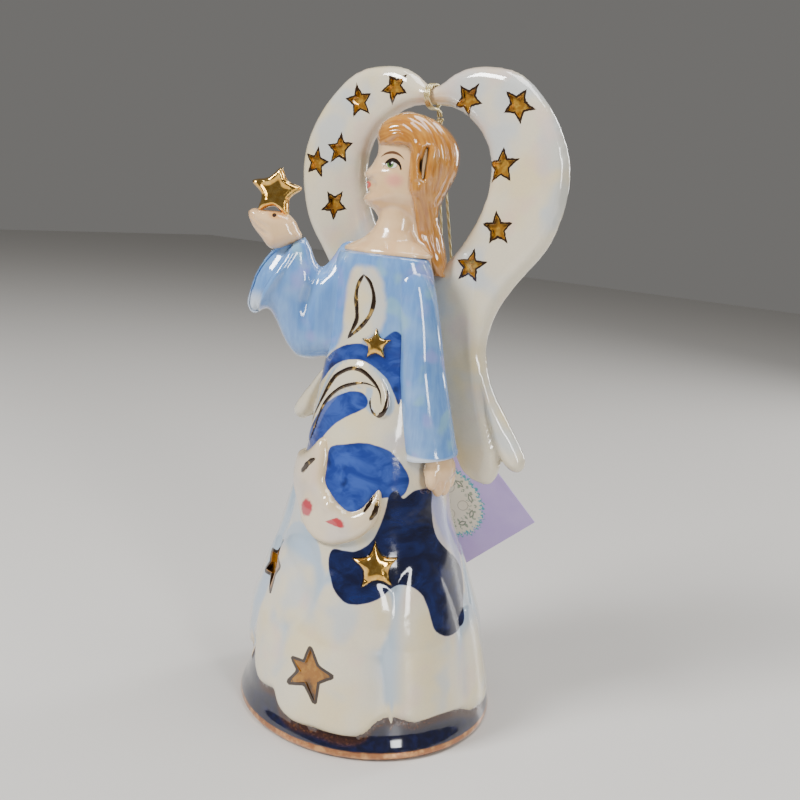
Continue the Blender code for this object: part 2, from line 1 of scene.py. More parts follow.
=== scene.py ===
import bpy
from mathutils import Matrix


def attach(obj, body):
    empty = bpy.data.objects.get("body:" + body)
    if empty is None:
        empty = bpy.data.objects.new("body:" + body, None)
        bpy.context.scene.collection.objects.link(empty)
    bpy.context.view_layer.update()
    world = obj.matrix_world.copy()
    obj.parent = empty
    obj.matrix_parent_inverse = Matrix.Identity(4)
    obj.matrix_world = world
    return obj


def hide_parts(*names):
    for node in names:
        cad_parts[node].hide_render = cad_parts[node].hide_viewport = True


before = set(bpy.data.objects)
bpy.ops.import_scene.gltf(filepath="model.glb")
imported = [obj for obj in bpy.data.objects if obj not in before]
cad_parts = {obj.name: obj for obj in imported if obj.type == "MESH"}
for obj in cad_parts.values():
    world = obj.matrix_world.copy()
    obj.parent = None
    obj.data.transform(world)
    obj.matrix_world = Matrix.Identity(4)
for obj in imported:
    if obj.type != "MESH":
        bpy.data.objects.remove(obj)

"""Looks of the porcelain angel bell: glaze, painting, gilding, cord and card.

Lengths inside the script are millimetres; a mesh is turned to metres when it
becomes a piece.  The angel's front looks along -Y, its left hand is at +X.
"""
import math

import bmesh
import bpy
import numpy as np
from mathutils import Matrix, Vector

bl_info = {
    "name": "Porcelain Angel Bell",
    "version": (1, 0, 0),
    "blender": (4, 5, 0),
    "location": "View3D > Sidebar > Angel Bell",
    "description": "Builds the glazed, painted and gilded pieces of a porcelain angel bell",
    "category": "Add Mesh",
}

MM = 0.001
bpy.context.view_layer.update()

# Height, half width and half depth of the skirt and torso
BODY_ROWS = np.array([
    (0.0, 35.0, 35.0), (2.4, 34.7, 34.7), (6.0, 33.0, 33.0), (15.0, 31.0, 31.0),
    (28.0, 28.4, 28.4), (40.0, 25.0, 25.0), (50.0, 22.6, 22.6), (60.0, 20.6, 20.4),
    (72.0, 18.5, 17.6), (84.0, 16.6, 14.2), (95.0, 15.2, 11.2), (106.0, 14.8, 9.6),
    (116.0, 14.6, 8.8), (120.0, 13.8, 8.4), (123.3, 12.2, 7.6),
])
BODY_TOP = 123.3
LEAN = np.array([-1.5, -7.0]) / 118.0
WALL = 3.0
CAVITY_TOP = 104.0

# The plane of the raised arm and of the face
ARM_TURN = math.radians(32.0)
ALONG = np.array([math.cos(ARM_TURN), math.sin(ARM_TURN), 0.0])
FACING = np.array([math.sin(ARM_TURN), -math.cos(ARM_TURN), 0.0])
ARM_OFFSET = 0.5
HEAD_OFFSET = 2.0
WING_Y = 7.0
# Half the gap between the wings where they meet, and the notches of a wing star to its tips
CLEFT_GAP = 0.12
STAR_WAIST = 0.48


# ---------------------------------------------------------------- curves and fields

def smooth_path(points, steps=8, closed=False, corners=()):
    """Points on the smooth curve through a short list; corners stay sharp."""
    points = np.asarray(points, float)
    count = len(points)
    out = []
    last = count if closed else count - 1
    for i in range(last):
        b, c = points[i], points[(i + 1) % count]
        a = points[i - 1] if (closed or i > 0) else b
        d = points[(i + 2) % count] if (closed or i + 2 < count) else c
        if i in corners:
            a = b
        if (i + 1) % count in corners:
            d = c
        for step in range(steps):
            t = step / steps
            out.append(0.5 * (2.0 * b + (c - a) * t + (2.0 * a - 5.0 * b + 4.0 * c - d) * t * t
                              + (3.0 * b - a - 3.0 * c + d) * t ** 3))
    if not closed:
        out.append(points[-1])
    return np.array(out)


def even_path(points, spacing):
    """The same line with its points at an even spacing."""
    reach = np.concatenate([[0.0], np.cumsum(np.linalg.norm(np.diff(points, axis=0), axis=1))])
    count = max(int(round(reach[-1] / spacing)), 2)
    places = np.linspace(0.0, reach[-1], count + 1)
    return np.stack([np.interp(places, reach, column) for column in points.T], 1)


def signed_distance(points, outline):
    """How deep flat points lie inside a closed outline; negative outside."""
    best = np.full(len(points), 1e9)
    inside = np.zeros(len(points), bool)
    for a, b in zip(outline, np.roll(outline, -1, axis=0)):
        edge = b - a
        share = np.clip(((points - a) @ edge) / max(edge @ edge, 1e-12), 0.0, 1.0)
        best = np.minimum(best, np.linalg.norm(points - a - share[:, None] * edge, axis=1))
        crossing = (a[1] > points[:, 1]) != (b[1] > points[:, 1])
        rise = edge[1] if abs(edge[1]) > 1e-12 else 1e-12
        inside ^= crossing & (points[:, 0] < a[0] + (points[:, 1] - a[1]) * edge[0] / rise)
    return np.where(inside, best, -best)


def line_distance(points, line):
    """Distance of flat points from an open line, and how far along it they are, 0 to 1."""
    best = np.full(len(points), 1e9)
    along = np.zeros(len(points))
    for number, (a, b) in enumerate(zip(line, line[1:])):
        edge = b - a
        share = np.clip(((points - a) @ edge) / max(edge @ edge, 1e-12), 0.0, 1.0)
        distance = np.linalg.norm(points - a - share[:, None] * edge, axis=1)
        nearer = distance < best
        best = np.where(nearer, distance, best)
        along = np.where(nearer, (number + share) / (len(line) - 1), along)
    return best, along


def ease(value):
    value = np.clip(value, 0.0, 1.0)
    return value * value * (3.0 - 2.0 * value)


def rounded(depth, radius):
    """The quarter round of an edge: 0 at the edge, 1 from the radius inwards."""
    share = np.clip(depth / radius, 0.0, 1.0)
    return np.sqrt(1.0 - (1.0 - share) ** 2)


def bumps(points, table):
    """Height of soft bumps, each given by its place across and up, radius and height."""
    total = np.zeros(len(points))
    for across, up, radius, rise in table:
        reach = (points[:, 0] - across) ** 2 + (points[:, 1] - up) ** 2
        total += rise * np.exp(-reach / radius ** 2)
    return total


def wobble(points, scale, seed=0.0):
    """Soft lumps of about a unit's height, the same on each run."""
    x, y, z = (points / scale + seed).T
    return (np.sin(x * 1.7 + np.sin(y * 1.3 + seed)) + np.sin(y * 1.9 + np.sin(z * 1.5 - seed))
            + np.sin(z * 2.1 + np.sin(x * 1.1))) / 3.0


# ---------------------------------------------------------------- the body's surface

ROW_Z = np.arange(0.0, BODY_TOP + 0.01, 0.3)
WINDOW = np.hanning(13)[1:-1]
SOFTENING = WINDOW / WINDOW.sum()


def soft_row(column):
    """One column of the body's rows at each height of ROW_Z, its corners softened."""
    sharp = np.interp(ROW_Z, BODY_ROWS[:, 0], BODY_ROWS[:, column])
    padded = np.concatenate([2 * sharp[0] - sharp[5:0:-1], sharp, 2 * sharp[-1] - sharp[-2:-7:-1]])
    return np.convolve(padded, SOFTENING, mode='valid')


ROW_WIDTH = soft_row(1)
ROW_DEPTH = soft_row(2)


def half_width(z):
    return np.interp(z, ROW_Z, ROW_WIDTH)


def half_depth(z):
    return np.interp(z, ROW_Z, ROW_DEPTH)


# Lower edge of the clouds round the skirt: bearing from the front, and height
CLOUD_EDGE = [
    (-176, 6.8), (-163, 6.2), (-152, 8.6), (-147, 12.2), (-140, 9.4), (-126, 6.8), (-112, 8.4),
    (-105, 13.4), (-98, 11.0), (-84, 9.6), (-70, 12.2), (-60, 13.6), (-51, 13.0), (-42, 16.6),
    (-36, 17.4), (-31, 13.6), (-24, 10.6), (-17, 10.6), (-12, 10.8), (-7, 7.6), (1, 6.1),
    (12, 6.3), (26, 5.7), (34, 7.0), (38, 9.4), (43, 10.8), (47, 10.9), (52, 9.9), (57, 9.1),
    (69, 9.7), (82, 8.8), (93, 6.2), (106, 5.6), (117, 8.0), (123, 12.4), (130, 9.0),
    (145, 6.0), (160, 6.8), (170, 10.4), (176, 10.8), (180, 8.4),
]
# Puffs of the clouds: bearing, height, half widths in degrees and mm, and how proud they stand
PUFFS = [
    (13, 15, 34, 22, 1.6), (66, 22, 25, 27, 1.8), (-22, 18, 17, 14, 1.6),
    (-60, 30, 24, 18, 3.0), (-20, 38, 26, 12, 1.5), (-34, 28, 15, 12, 1.6),
    (103, 16, 24, 17, 1.8), (140, 26, 30, 22, 2.1), (178, 16, 24, 16, 1.9),
    (-178, 40, 26, 14, 1.6), (-130, 24, 26, 20, 2.0), (-95, 18, 20, 14, 1.9),
    (-90, 42, 24, 16, 1.7), (26, 35, 26, 10, 1.2), (-66, 52, 20, 12, 1.8),
]
# Radius of the rounded lower edge of the clouds, and of the moon's edge
CLOUD_LIP = 2.4
MOON_EDGE = 2.4
# The moon's cap: bearing and height
CAP_OUTLINE = [
    (-44, 76), (-37, 85.4), (-28, 91.6), (-18, 94.9), (-6, 96.3), (7, 96.7), (20, 95.6),
    (31, 93), (37.4, 89.8), (38.4, 86.4), (34, 84.4), (27, 84.9), (21.6, 87.4), (22, 90.4),
    (12, 90.6), (0, 89.6), (-12, 87.6), (-24, 83), (-33, 77.4), (-38, 73.4),
]


def cloud_edge(bearing):
    edge = smooth_path(CLOUD_EDGE, 5, closed=True)
    order = np.argsort(edge[:, 0])
    return np.interp(bearing, edge[order, 0], edge[order, 1], period=360.0)


def unroll(points):
    """Bearings in degrees and heights as flat (around, up) millimetres."""
    points = np.asarray(points, float)
    return np.stack([np.radians(points[:, 0]) * half_width(points[:, 1]), points[:, 1]], 1)


def bearings(flat):
    """Bearings in degrees of flat (around, up) millimetres."""
    return np.degrees(flat[:, 0] / half_width(flat[:, 1]))


def relief(bearing, z):
    """How far the modelled surface stands off the plain skirt."""
    bearing = np.asarray(bearing, float)
    z = np.asarray(z, float)
    above = z - cloud_edge(bearing)
    total = np.zeros(z.shape)
    for turn, height, reach, tall, proud in PUFFS:
        away = (bearing - turn + 180.0) % 360.0 - 180.0
        share = np.clip(1.0 - (away / reach) ** 2 - ((z - height) / tall) ** 2, 0.0, 1.0)
        total += (proud * share ** 0.62) ** 5
    puffs = total ** 0.2
    lip = rounded(above, CLOUD_LIP)
    clouds = (0.55 * ease((58.0 - z) / 14.0) + puffs) * lip
    flat = unroll(np.stack([bearing.ravel(), z.ravel()], 1))
    cap = signed_distance(flat, unroll(smooth_path(CAP_OUTLINE, 3, closed=True))).reshape(z.shape)
    ridge = 0.75 * rounded(cap, 1.6)
    soft = 0.12 * wobble(np.pad(flat, ((0, 0), (0, 1))), 6.0).reshape(z.shape)
    return np.maximum(clouds, ridge) + soft * ease((z - 3.0) / 3.0) * ease((120.0 - z) / 4.0)


def on_skirt(bearing, z, lift):
    """Points at a lift off the plain skirt, bearings in degrees."""
    turn = np.radians(bearing)
    x = (half_width(z) + lift) * np.sin(turn) + LEAN[0] * z
    y = -(half_depth(z) + lift) * np.cos(turn) + LEAN[1] * z
    return np.stack(np.broadcast_arrays(x, y, z), -1)


def on_glaze(bearing, z, lift):
    """Points at a lift off the modelled surface of the body."""
    return on_skirt(bearing, z, relief(bearing, z) + lift)


# ---------------------------------------------------------------- mesh making

def opened(mesh):
    """An editable copy of a mesh."""
    body = bmesh.new()
    body.from_mesh(mesh)
    return body


def everything(body):
    return body.verts[:] + body.edges[:] + body.faces[:]


def placed(name, data):
    """A new object in the scene."""
    thing = bpy.data.objects.new(name, data)
    bpy.context.scene.collection.objects.link(thing)
    return thing


def to_mesh(body, name):
    mesh = bpy.data.meshes.new(name)
    body.to_mesh(mesh)
    body.free()
    return mesh


def points_of(mesh):
    flat = np.empty(len(mesh.vertices) * 3)
    mesh.vertices.foreach_get("co", flat)
    return flat.reshape(-1, 3)


def move_to(mesh, points):
    mesh.vertices.foreach_set("co", np.ascontiguousarray(points, float).ravel())
    mesh.update()


def normals_of(mesh):
    flat = np.empty(len(mesh.vertices) * 3)
    mesh.vertex_normals.foreach_get("vector", flat)
    return flat.reshape(-1, 3)


def keep_field(mesh, name, values):
    layer = mesh.attributes.get(name) or mesh.attributes.new(name, 'FLOAT', 'POINT')
    layer.data.foreach_set("value", np.asarray(values, float))


def through_modifier(mesh, kind, **settings):
    """The mesh that one modifier gives."""
    holder = placed("holder", mesh)
    modifier = holder.modifiers.new("step", kind)
    for key, value in settings.items():
        setattr(modifier, key, value)
    bpy.context.view_layer.update()
    evaluated = holder.evaluated_get(bpy.context.evaluated_depsgraph_get())
    result = bpy.data.meshes.new_from_object(evaluated)
    bpy.data.objects.remove(holder, do_unlink=True)
    return result


def cut_out(mesh, cutter):
    """The mesh less a cutter mesh."""
    tool = placed("cutter", cutter)
    result = through_modifier(mesh, 'BOOLEAN', operation='DIFFERENCE', solver='EXACT', object=tool)
    bpy.data.objects.remove(tool, do_unlink=True)
    return result


def even_skin(mesh, voxel, passes):
    """One closed skin of even faces over everything in the mesh, smoothed."""
    skin = through_modifier(mesh, 'REMESH', mode='VOXEL', voxel_size=voxel, adaptivity=0.0)
    body = opened(skin)
    for _ in range(passes):
        bmesh.ops.smooth_vert(body, verts=body.verts, factor=0.5, use_axis_x=True,
                              use_axis_y=True, use_axis_z=True)
    return to_mesh(body, "skin")


def pillow(outline, spacing, rule):
    """A closed cushion over a flat outline; the rule gives half its thickness.

    The rule takes the flat points and how deep each lies inside the outline.
    """
    body = bmesh.new()
    body.faces.new([body.verts.new((x, y, 0.0)) for x, y in outline])
    for axis, normal in enumerate(((1.0, 0.0, 0.0), (0.0, 1.0, 0.0))):
        low, high = outline[:, axis].min(), outline[:, axis].max()
        cuts = max(int((high - low) / spacing), 1)
        for cut in range(1, cuts + 1):
            place = Vector(normal) * float(low + (high - low) * cut / (cuts + 1))
            bmesh.ops.bisect_plane(body, geom=everything(body), plane_co=place, plane_no=normal,
                                   dist=0.0001)
    bmesh.ops.triangulate(body, faces=body.faces)
    flat = np.array([vertex.co[:2] for vertex in body.verts])
    depth = np.maximum(signed_distance(flat, outline), 0.0)
    thick = rule(flat, depth) * (depth > 1e-4)
    copy = bmesh.ops.duplicate(body, geom=everything(body))
    under = {vertex for vertex in copy["geom"] if isinstance(vertex, bmesh.types.BMVert)}
    upper = [vertex for vertex in body.verts if vertex not in under]
    lower = [vertex for vertex in body.verts if vertex in under]
    for vertices, side in ((upper, 1.0), (lower, -1.0)):
        for vertex, half in zip(vertices, thick):
            vertex.co.z = side * half
    bmesh.ops.remove_doubles(body, verts=body.verts, dist=0.001)
    bmesh.ops.recalc_face_normals(body, faces=body.faces)
    return to_mesh(body, "pillow")


def bent_rod(path, width, height, across, around=12, closed=False):
    """A rod of oval section bent along a path; across gives the section's wide direction."""
    rings = len(path)
    body = bmesh.new()
    bmesh.ops.create_cone(body, cap_ends=not closed, segments=around, radius1=1.0, radius2=1.0,
                          depth=1.0)
    upright = [edge for edge in body.edges if abs(edge.verts[0].co.z - edge.verts[1].co.z) > 0.5]
    bmesh.ops.subdivide_edges(body, edges=upright, cuts=rings - 2, use_grid_fill=True)
    mesh = to_mesh(body, "rod")
    unit = points_of(mesh)
    ring = np.rint((unit[:, 2] + 0.5) * (rings - 1)).astype(int)
    ahead = np.gradient(path, axis=0)
    if closed:
        ahead[0] = ahead[-1] = path[1] - path[-2]
    ahead /= np.linalg.norm(ahead, axis=1)[:, None]
    across = np.broadcast_to(np.asarray(across, float), path.shape)
    side = across - (across * ahead).sum(1)[:, None] * ahead
    side /= np.linalg.norm(side, axis=1)[:, None]
    rise = np.cross(ahead, side)
    width = np.broadcast_to(np.asarray(width, float), (rings,))[ring]
    height = np.broadcast_to(np.asarray(height, float), (rings,))[ring]
    points = path[ring] + side[ring] * (unit[:, 0] * width)[:, None]
    points += rise[ring] * (unit[:, 1] * height)[:, None]
    move_to(mesh, points)
    keep_field(mesh, "ring", ring)
    if closed:
        body = opened(mesh)
        bmesh.ops.remove_doubles(body, verts=body.verts, dist=0.0005)
        mesh = to_mesh(body, "ring")
    return right_way_out(mesh)


def right_way_out(mesh):
    body = opened(mesh)
    bmesh.ops.recalc_face_normals(body, faces=body.faces)
    return to_mesh(body, mesh.name)


def spun(profile, steps):
    """A profile of (radius, height) pairs turned round Z into a closed shape."""
    body = bmesh.new()
    ring = [body.verts.new((radius, 0.0, height)) for radius, height in profile]
    for a, b in zip(ring, ring[1:]):
        body.edges.new((a, b))
    bmesh.ops.spin(body, geom=body.verts[:] + body.edges[:], axis=(0.0, 0.0, 1.0),
                   cent=(0.0, 0.0, 0.0), angle=2.0 * math.pi, steps=steps, use_merge=True)
    bmesh.ops.remove_doubles(body, verts=body.verts, dist=0.0005)
    bmesh.ops.recalc_face_normals(body, faces=body.faces)
    return to_mesh(body, "turned")


def lump(centre, half_sizes, turn):
    """An egg shape, turned by a matrix before it is put in place."""
    body = bmesh.new()
    bmesh.ops.create_uvsphere(body, u_segments=32, v_segments=16, radius=1.0)
    bmesh.ops.transform(body, matrix=Matrix.Diagonal((*half_sizes, 1.0)), verts=body.verts)
    bmesh.ops.transform(body, matrix=turn.to_4x4(), verts=body.verts)
    bmesh.ops.translate(body, vec=centre, verts=body.verts)
    return to_mesh(body, "lump")


def close_holes(body):
    bmesh.ops.holes_fill(body, edges=[edge for edge in body.edges if edge.is_boundary], sides=0)


def joined(*meshes):
    body = bmesh.new()
    for mesh in meshes:
        body.from_mesh(mesh)
    return to_mesh(body, "joined")


def star_points(outer, inner, turn, rounded_notches=False):
    """A five-pointed star, its first tip up before the turn."""
    points = []
    for corner in range(10):
        radius = inner if corner % 2 else outer
        angle = math.radians(90.0 + 36.0 * corner + turn)
        points.append((radius * math.cos(angle), radius * math.sin(angle)))
    if rounded_notches:
        return smooth_path(points, 3, closed=True, corners=range(0, 10, 2))
    return np.array(points)


def prism(outline, low, high):
    """A straight-sided block over a flat outline."""
    body = bmesh.new()
    face = body.faces.new([body.verts.new((x, y, low)) for x, y in outline])
    side = bmesh.ops.extrude_face_region(body, geom=[face])
    moved = [item for item in side["geom"] if isinstance(item, bmesh.types.BMVert)]
    bmesh.ops.translate(body, vec=(0.0, 0.0, high - low), verts=moved)
    bmesh.ops.recalc_face_normals(body, faces=body.faces)
    return to_mesh(body, "prism")


def in_arm_plane(mesh, offset):
    """Stand a flat shape (across, up, towards the front) in the plane of the raised arm."""
    flat = points_of(mesh)
    points = flat[:, :1] * ALONG + (offset + flat[:, 2:]) * FACING
    points[:, 2] += flat[:, 1]
    move_to(mesh, points)
    return right_way_out(mesh)


def arm_view(points):
    """World points as (across, up, towards the front) in the arm's plane."""
    return np.stack([points @ ALONG, points[:, 2], points @ FACING], 1)


def add_piece(name, mesh, paint, body="root", nodes=(), sharp=None):
    """Make the mesh a piece of the bell, in metres, riding on its body."""
    mesh.name = name
    move_to(mesh, points_of(mesh) * MM)
    piece = placed(name, mesh)
    mesh.shade_smooth()
    if sharp:
        mesh.set_sharp_from_angle(angle=math.radians(sharp))
    mesh.materials.clear()
    mesh.materials.append(paint)
    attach(piece, body)
    if nodes:
        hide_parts(*nodes)
    return piece


# ---------------------------------------------------------------- glazes and finishes

class Wire:
    """A node's output; sums written in Python add Math nodes."""

    def __init__(self, paint, socket):
        self.paint = paint
        self.socket = socket

    def maths(self, operation, *others):
        return self.paint.node("ShaderNodeMath", {"operation": operation}, (self, *others))

    def __add__(self, other):
        return self.maths('ADD', other)

    __radd__ = __add__

    def __sub__(self, other):
        return self.maths('SUBTRACT', other)

    def __rsub__(self, other):
        return self.paint.node("ShaderNodeMath", {"operation": 'SUBTRACT'}, (other, self))

    def __mul__(self, other):
        return self.maths('MULTIPLY', other)

    __rmul__ = __mul__

    def __truediv__(self, other):
        return self.maths('DIVIDE', other)

    def least(self, other):
        return self.maths('MINIMUM', other)

    def greatest(self, other):
        return self.maths('MAXIMUM', other)

    def size(self):
        return self.maths('ABSOLUTE')

    def sine(self):
        return self.maths('SINE')

    def step(self, low, high):
        """0 below low and 1 above high, smooth between."""
        return self.paint.node("ShaderNodeMapRange", {"interpolation_type": 'SMOOTHSTEP'},
                               {"Value": self, "From Min": low, "From Max": high})


class Paint:
    """A material and its nodes."""

    def __init__(self, name):
        self.material = bpy.data.materials.new(name)
        self.material.use_nodes = True
        self.tree = self.material.node_tree
        self.shader = self.tree.nodes["Principled BSDF"]
        self.place = None

    def join(self, value, socket):
        if isinstance(value, Wire):
            self.tree.links.new(value.socket, socket)
        elif hasattr(value, "__len__") and len(value) == 3 and socket.type == 'RGBA':
            socket.default_value = (*value, 1.0)
        else:
            socket.default_value = value

    def node(self, kind, settings=None, values=(), output=0):
        """Add a node: its settings first, then values or wires for its sockets."""
        node = self.tree.nodes.new(kind)
        for key, value in (settings or {}).items():
            setattr(node, key, value)
        pairs = values.items() if isinstance(values, dict) else enumerate(values)
        for key, value in pairs:
            self.join(value, node.inputs[key])
        return Wire(self, node.outputs[output])

    def spot(self, move=(0.0, 0.0, 0.0)):
        """Object coordinates in millimetres, moved."""
        if self.place is None:
            self.place = self.node("ShaderNodeTexCoord", output=3)
        return self.node("ShaderNodeMapping", None,
                         {"Vector": self.place, "Location": move, "Scale": (1.0 / MM,) * 3})

    def split(self, vector):
        node = self.tree.nodes.new("ShaderNodeSeparateXYZ")
        self.join(vector, node.inputs[0])
        return [Wire(self, output) for output in node.outputs]

    def noise(self, size, detail=2.0, place=None, roughness=0.5, distortion=0.0):
        """Noise whose lumps are about a size in millimetres."""
        return self.node("ShaderNodeTexNoise", None,
                         {"Vector": place or self.spot(), "Scale": 1.0 / size, "Detail": detail,
                          "Roughness": roughness, "Distortion": distortion})

    def field(self, name):
        """A measure kept on the mesh."""
        return self.node("ShaderNodeAttribute", {"attribute_name": name}, output=2)

    def mix(self, share, first, second):
        """The first colour under a share of the second."""
        return self.node("ShaderNodeMix", {"data_type": 'RGBA'}, {0: share, 6: first, 7: second},
                         output=2)

    def bump(self, height, depth):
        return self.node("ShaderNodeBump", None,
                         {"Height": height, "Distance": depth * MM, "Strength": 1.0})

    def finish(self, **sockets):
        """Set or link the shader's sockets, names with underscores for spaces."""
        for key, value in sockets.items():
            self.join(value, self.shader.inputs[key.replace("_", " ")])
        return self.material


def colours():
    return bpy.context.scene.angel_bell_colours


def sizes():
    return bpy.context.scene.angel_bell_sizes


def pearl_colour_and_sheen(paint):
    """Cream porcelain under a pearl lustre: soft blue, pink and yellow clouds in it."""
    base = tuple(colours().pearl)
    warm = paint.noise(17.0, 2.0, paint.spot(move=(3.0, 0.0, 0.0)))
    cool = paint.noise(13.0, 2.0, paint.spot(move=(0.0, 40.0, 7.0)))
    rose = paint.noise(11.0, 2.0, paint.spot(move=(25.0, 9.0, 0.0)))
    # Painted sheen: warm, cool and rose tints over the real cream, for the lustre's play of colour
    colour = paint.mix(warm.step(0.45, 0.64) * 0.65, base, (0.76, 0.62, 0.32))
    colour = paint.mix(cool.step(0.48, 0.66) * 0.50, colour, (0.42, 0.53, 0.66))
    colour = paint.mix(rose.step(0.52, 0.70) * 0.40, colour, (0.72, 0.50, 0.44))
    grain = paint.noise(0.45, 2.0)
    return paint.mix(grain.step(0.3, 0.75) * 0.12, colour, (0.45, 0.42, 0.36))


def glaze_bump(paint, extra=None):
    """The slow ripple of a thick glaze."""
    ripple = paint.noise(7.0, 2.0) + paint.noise(1.6, 1.0) * 0.05
    return paint.bump(ripple if extra is None else ripple + extra, 0.22)


def glazed(paint, colour, roughness=0.10, metallic=0.0, extra=None):
    return paint.finish(Base_Color=colour, Roughness=roughness, Metallic=metallic,
                        Specular_IOR_Level=0.55, Coat_Weight=1.0, Coat_Roughness=0.03,
                        Coat_IOR=1.55, Normal=glaze_bump(paint, extra))


def blue_colour(paint):
    """Light blue laid on with a broad brush, with mauve and green lights in it."""
    base = tuple(colours().robe)
    across, deep, up = paint.split(paint.spot())
    streak = paint.node("ShaderNodeCombineXYZ", None, (across, deep, up * 0.16))
    brush = paint.noise(1.5, 4.0, streak, 0.6, 0.4)
    broad = paint.noise(9.0, 2.0)
    colour = paint.mix(brush.step(0.30, 0.74), base, (0.155, 0.33, 0.66))
    colour = paint.mix(broad.step(0.45, 0.75) * 0.50, colour, (0.29, 0.47, 0.74))
    mauve = paint.noise(7.0, 1.0, paint.spot(move=(0.0, 0.0, 31.0)))
    green = paint.noise(6.0, 1.0, paint.spot(move=(17.0, 0.0, 0.0)))
    colour = paint.mix(mauve.step(0.58, 0.74) * 0.45, colour, (0.34, 0.30, 0.70))
    return paint.mix(green.step(0.60, 0.76) * 0.40, colour, (0.30, 0.55, 0.50))


def robe_paint():
    paint = Paint("blue_robe_glaze")
    hem = paint.field("hem").step(0.0, 1.0)
    return glazed(paint, paint.mix(hem, blue_colour(paint), (0.62, 0.69, 0.78)))


def cobalt_colour(paint, deep_share):
    """Cobalt painted in strokes; the share takes it down to near black."""
    across, deep, up = paint.split(paint.spot())
    stroke = paint.node("ShaderNodeCombineXYZ", None, (across * 0.6, deep * 0.6, up))
    swirl = paint.noise(4.2, 3.0, stroke, 0.55, 1.0)
    pools = paint.noise(6.0, 2.0, paint.spot(move=(5.0, 2.0, 0.0)))
    light = paint.mix(swirl.step(0.34, 0.66), (0.012, 0.034, 0.22), (0.040, 0.090, 0.37))
    light = paint.mix(pools.step(0.60, 0.72) * 0.85, light, (0.006, 0.012, 0.08))
    dark = paint.mix(swirl.step(0.40, 0.72), (0.002, 0.004, 0.026), (0.006, 0.015, 0.085))
    return paint.mix(deep_share, light, dark)


def gold_parts(paint):
    """Colour and polish of fired gold lustre over an uneven glaze."""
    worn = paint.noise(1.3, 3.0)
    fine = paint.noise(0.5, 2.0)
    colour = paint.mix(worn.step(0.35, 0.7), tuple(colours().gold), (0.93, 0.60, 0.16))
    return colour, fine.step(0.2, 0.9) * 0.10 + 0.09


# Dark brown round each pressed star: a painted dark reflection of the star's gilded groove
GROOVE_REFLECTION_BROWN = (0.028, 0.011, 0.003)


def satin_gold(paint):
    """Ochre-coloured lustre, half matt, of the small stars pressed into the clay."""
    worn = paint.noise(1.1, 3.0)
    return paint.mix(worn.step(0.40, 0.66), (0.52, 0.235, 0.020), (0.80, 0.45, 0.06))


def gold_paint(name="gold_lustre", edge_field=None):
    """Polished gold; where the edge field is near 0 the lustre burnt to a dark brown."""
    paint = Paint(name)
    colour, rough = gold_parts(paint)
    if edge_field:
        # Dark brown where the edge field is near 0, towards the foot of a raised star
        thin = 1.0 - (paint.field(edge_field) + paint.noise(0.9, 1.0) * 0.5).step(0.30, 0.85)
        colour = paint.mix(thin, colour, (0.050, 0.022, 0.006))
    return paint.finish(Base_Color=colour, Metallic=1.0, Roughness=rough, Coat_Weight=0.6,
                        Coat_Roughness=0.03, Normal=glaze_bump(paint))


def line_paint():
    """Gold drawn with a fine brush: dark brown where thin, bright where it pooled."""
    paint = Paint("burnt_gold_line")
    pool = paint.noise(2.2, 2.0)
    colour = paint.mix(pool.step(0.55, 0.70), (0.040, 0.020, 0.008), (0.62, 0.40, 0.12))
    return paint.finish(Base_Color=colour, Metallic=0.65, Roughness=0.16, Coat_Weight=1.0,
                        Coat_Roughness=0.03, Normal=glaze_bump(paint))


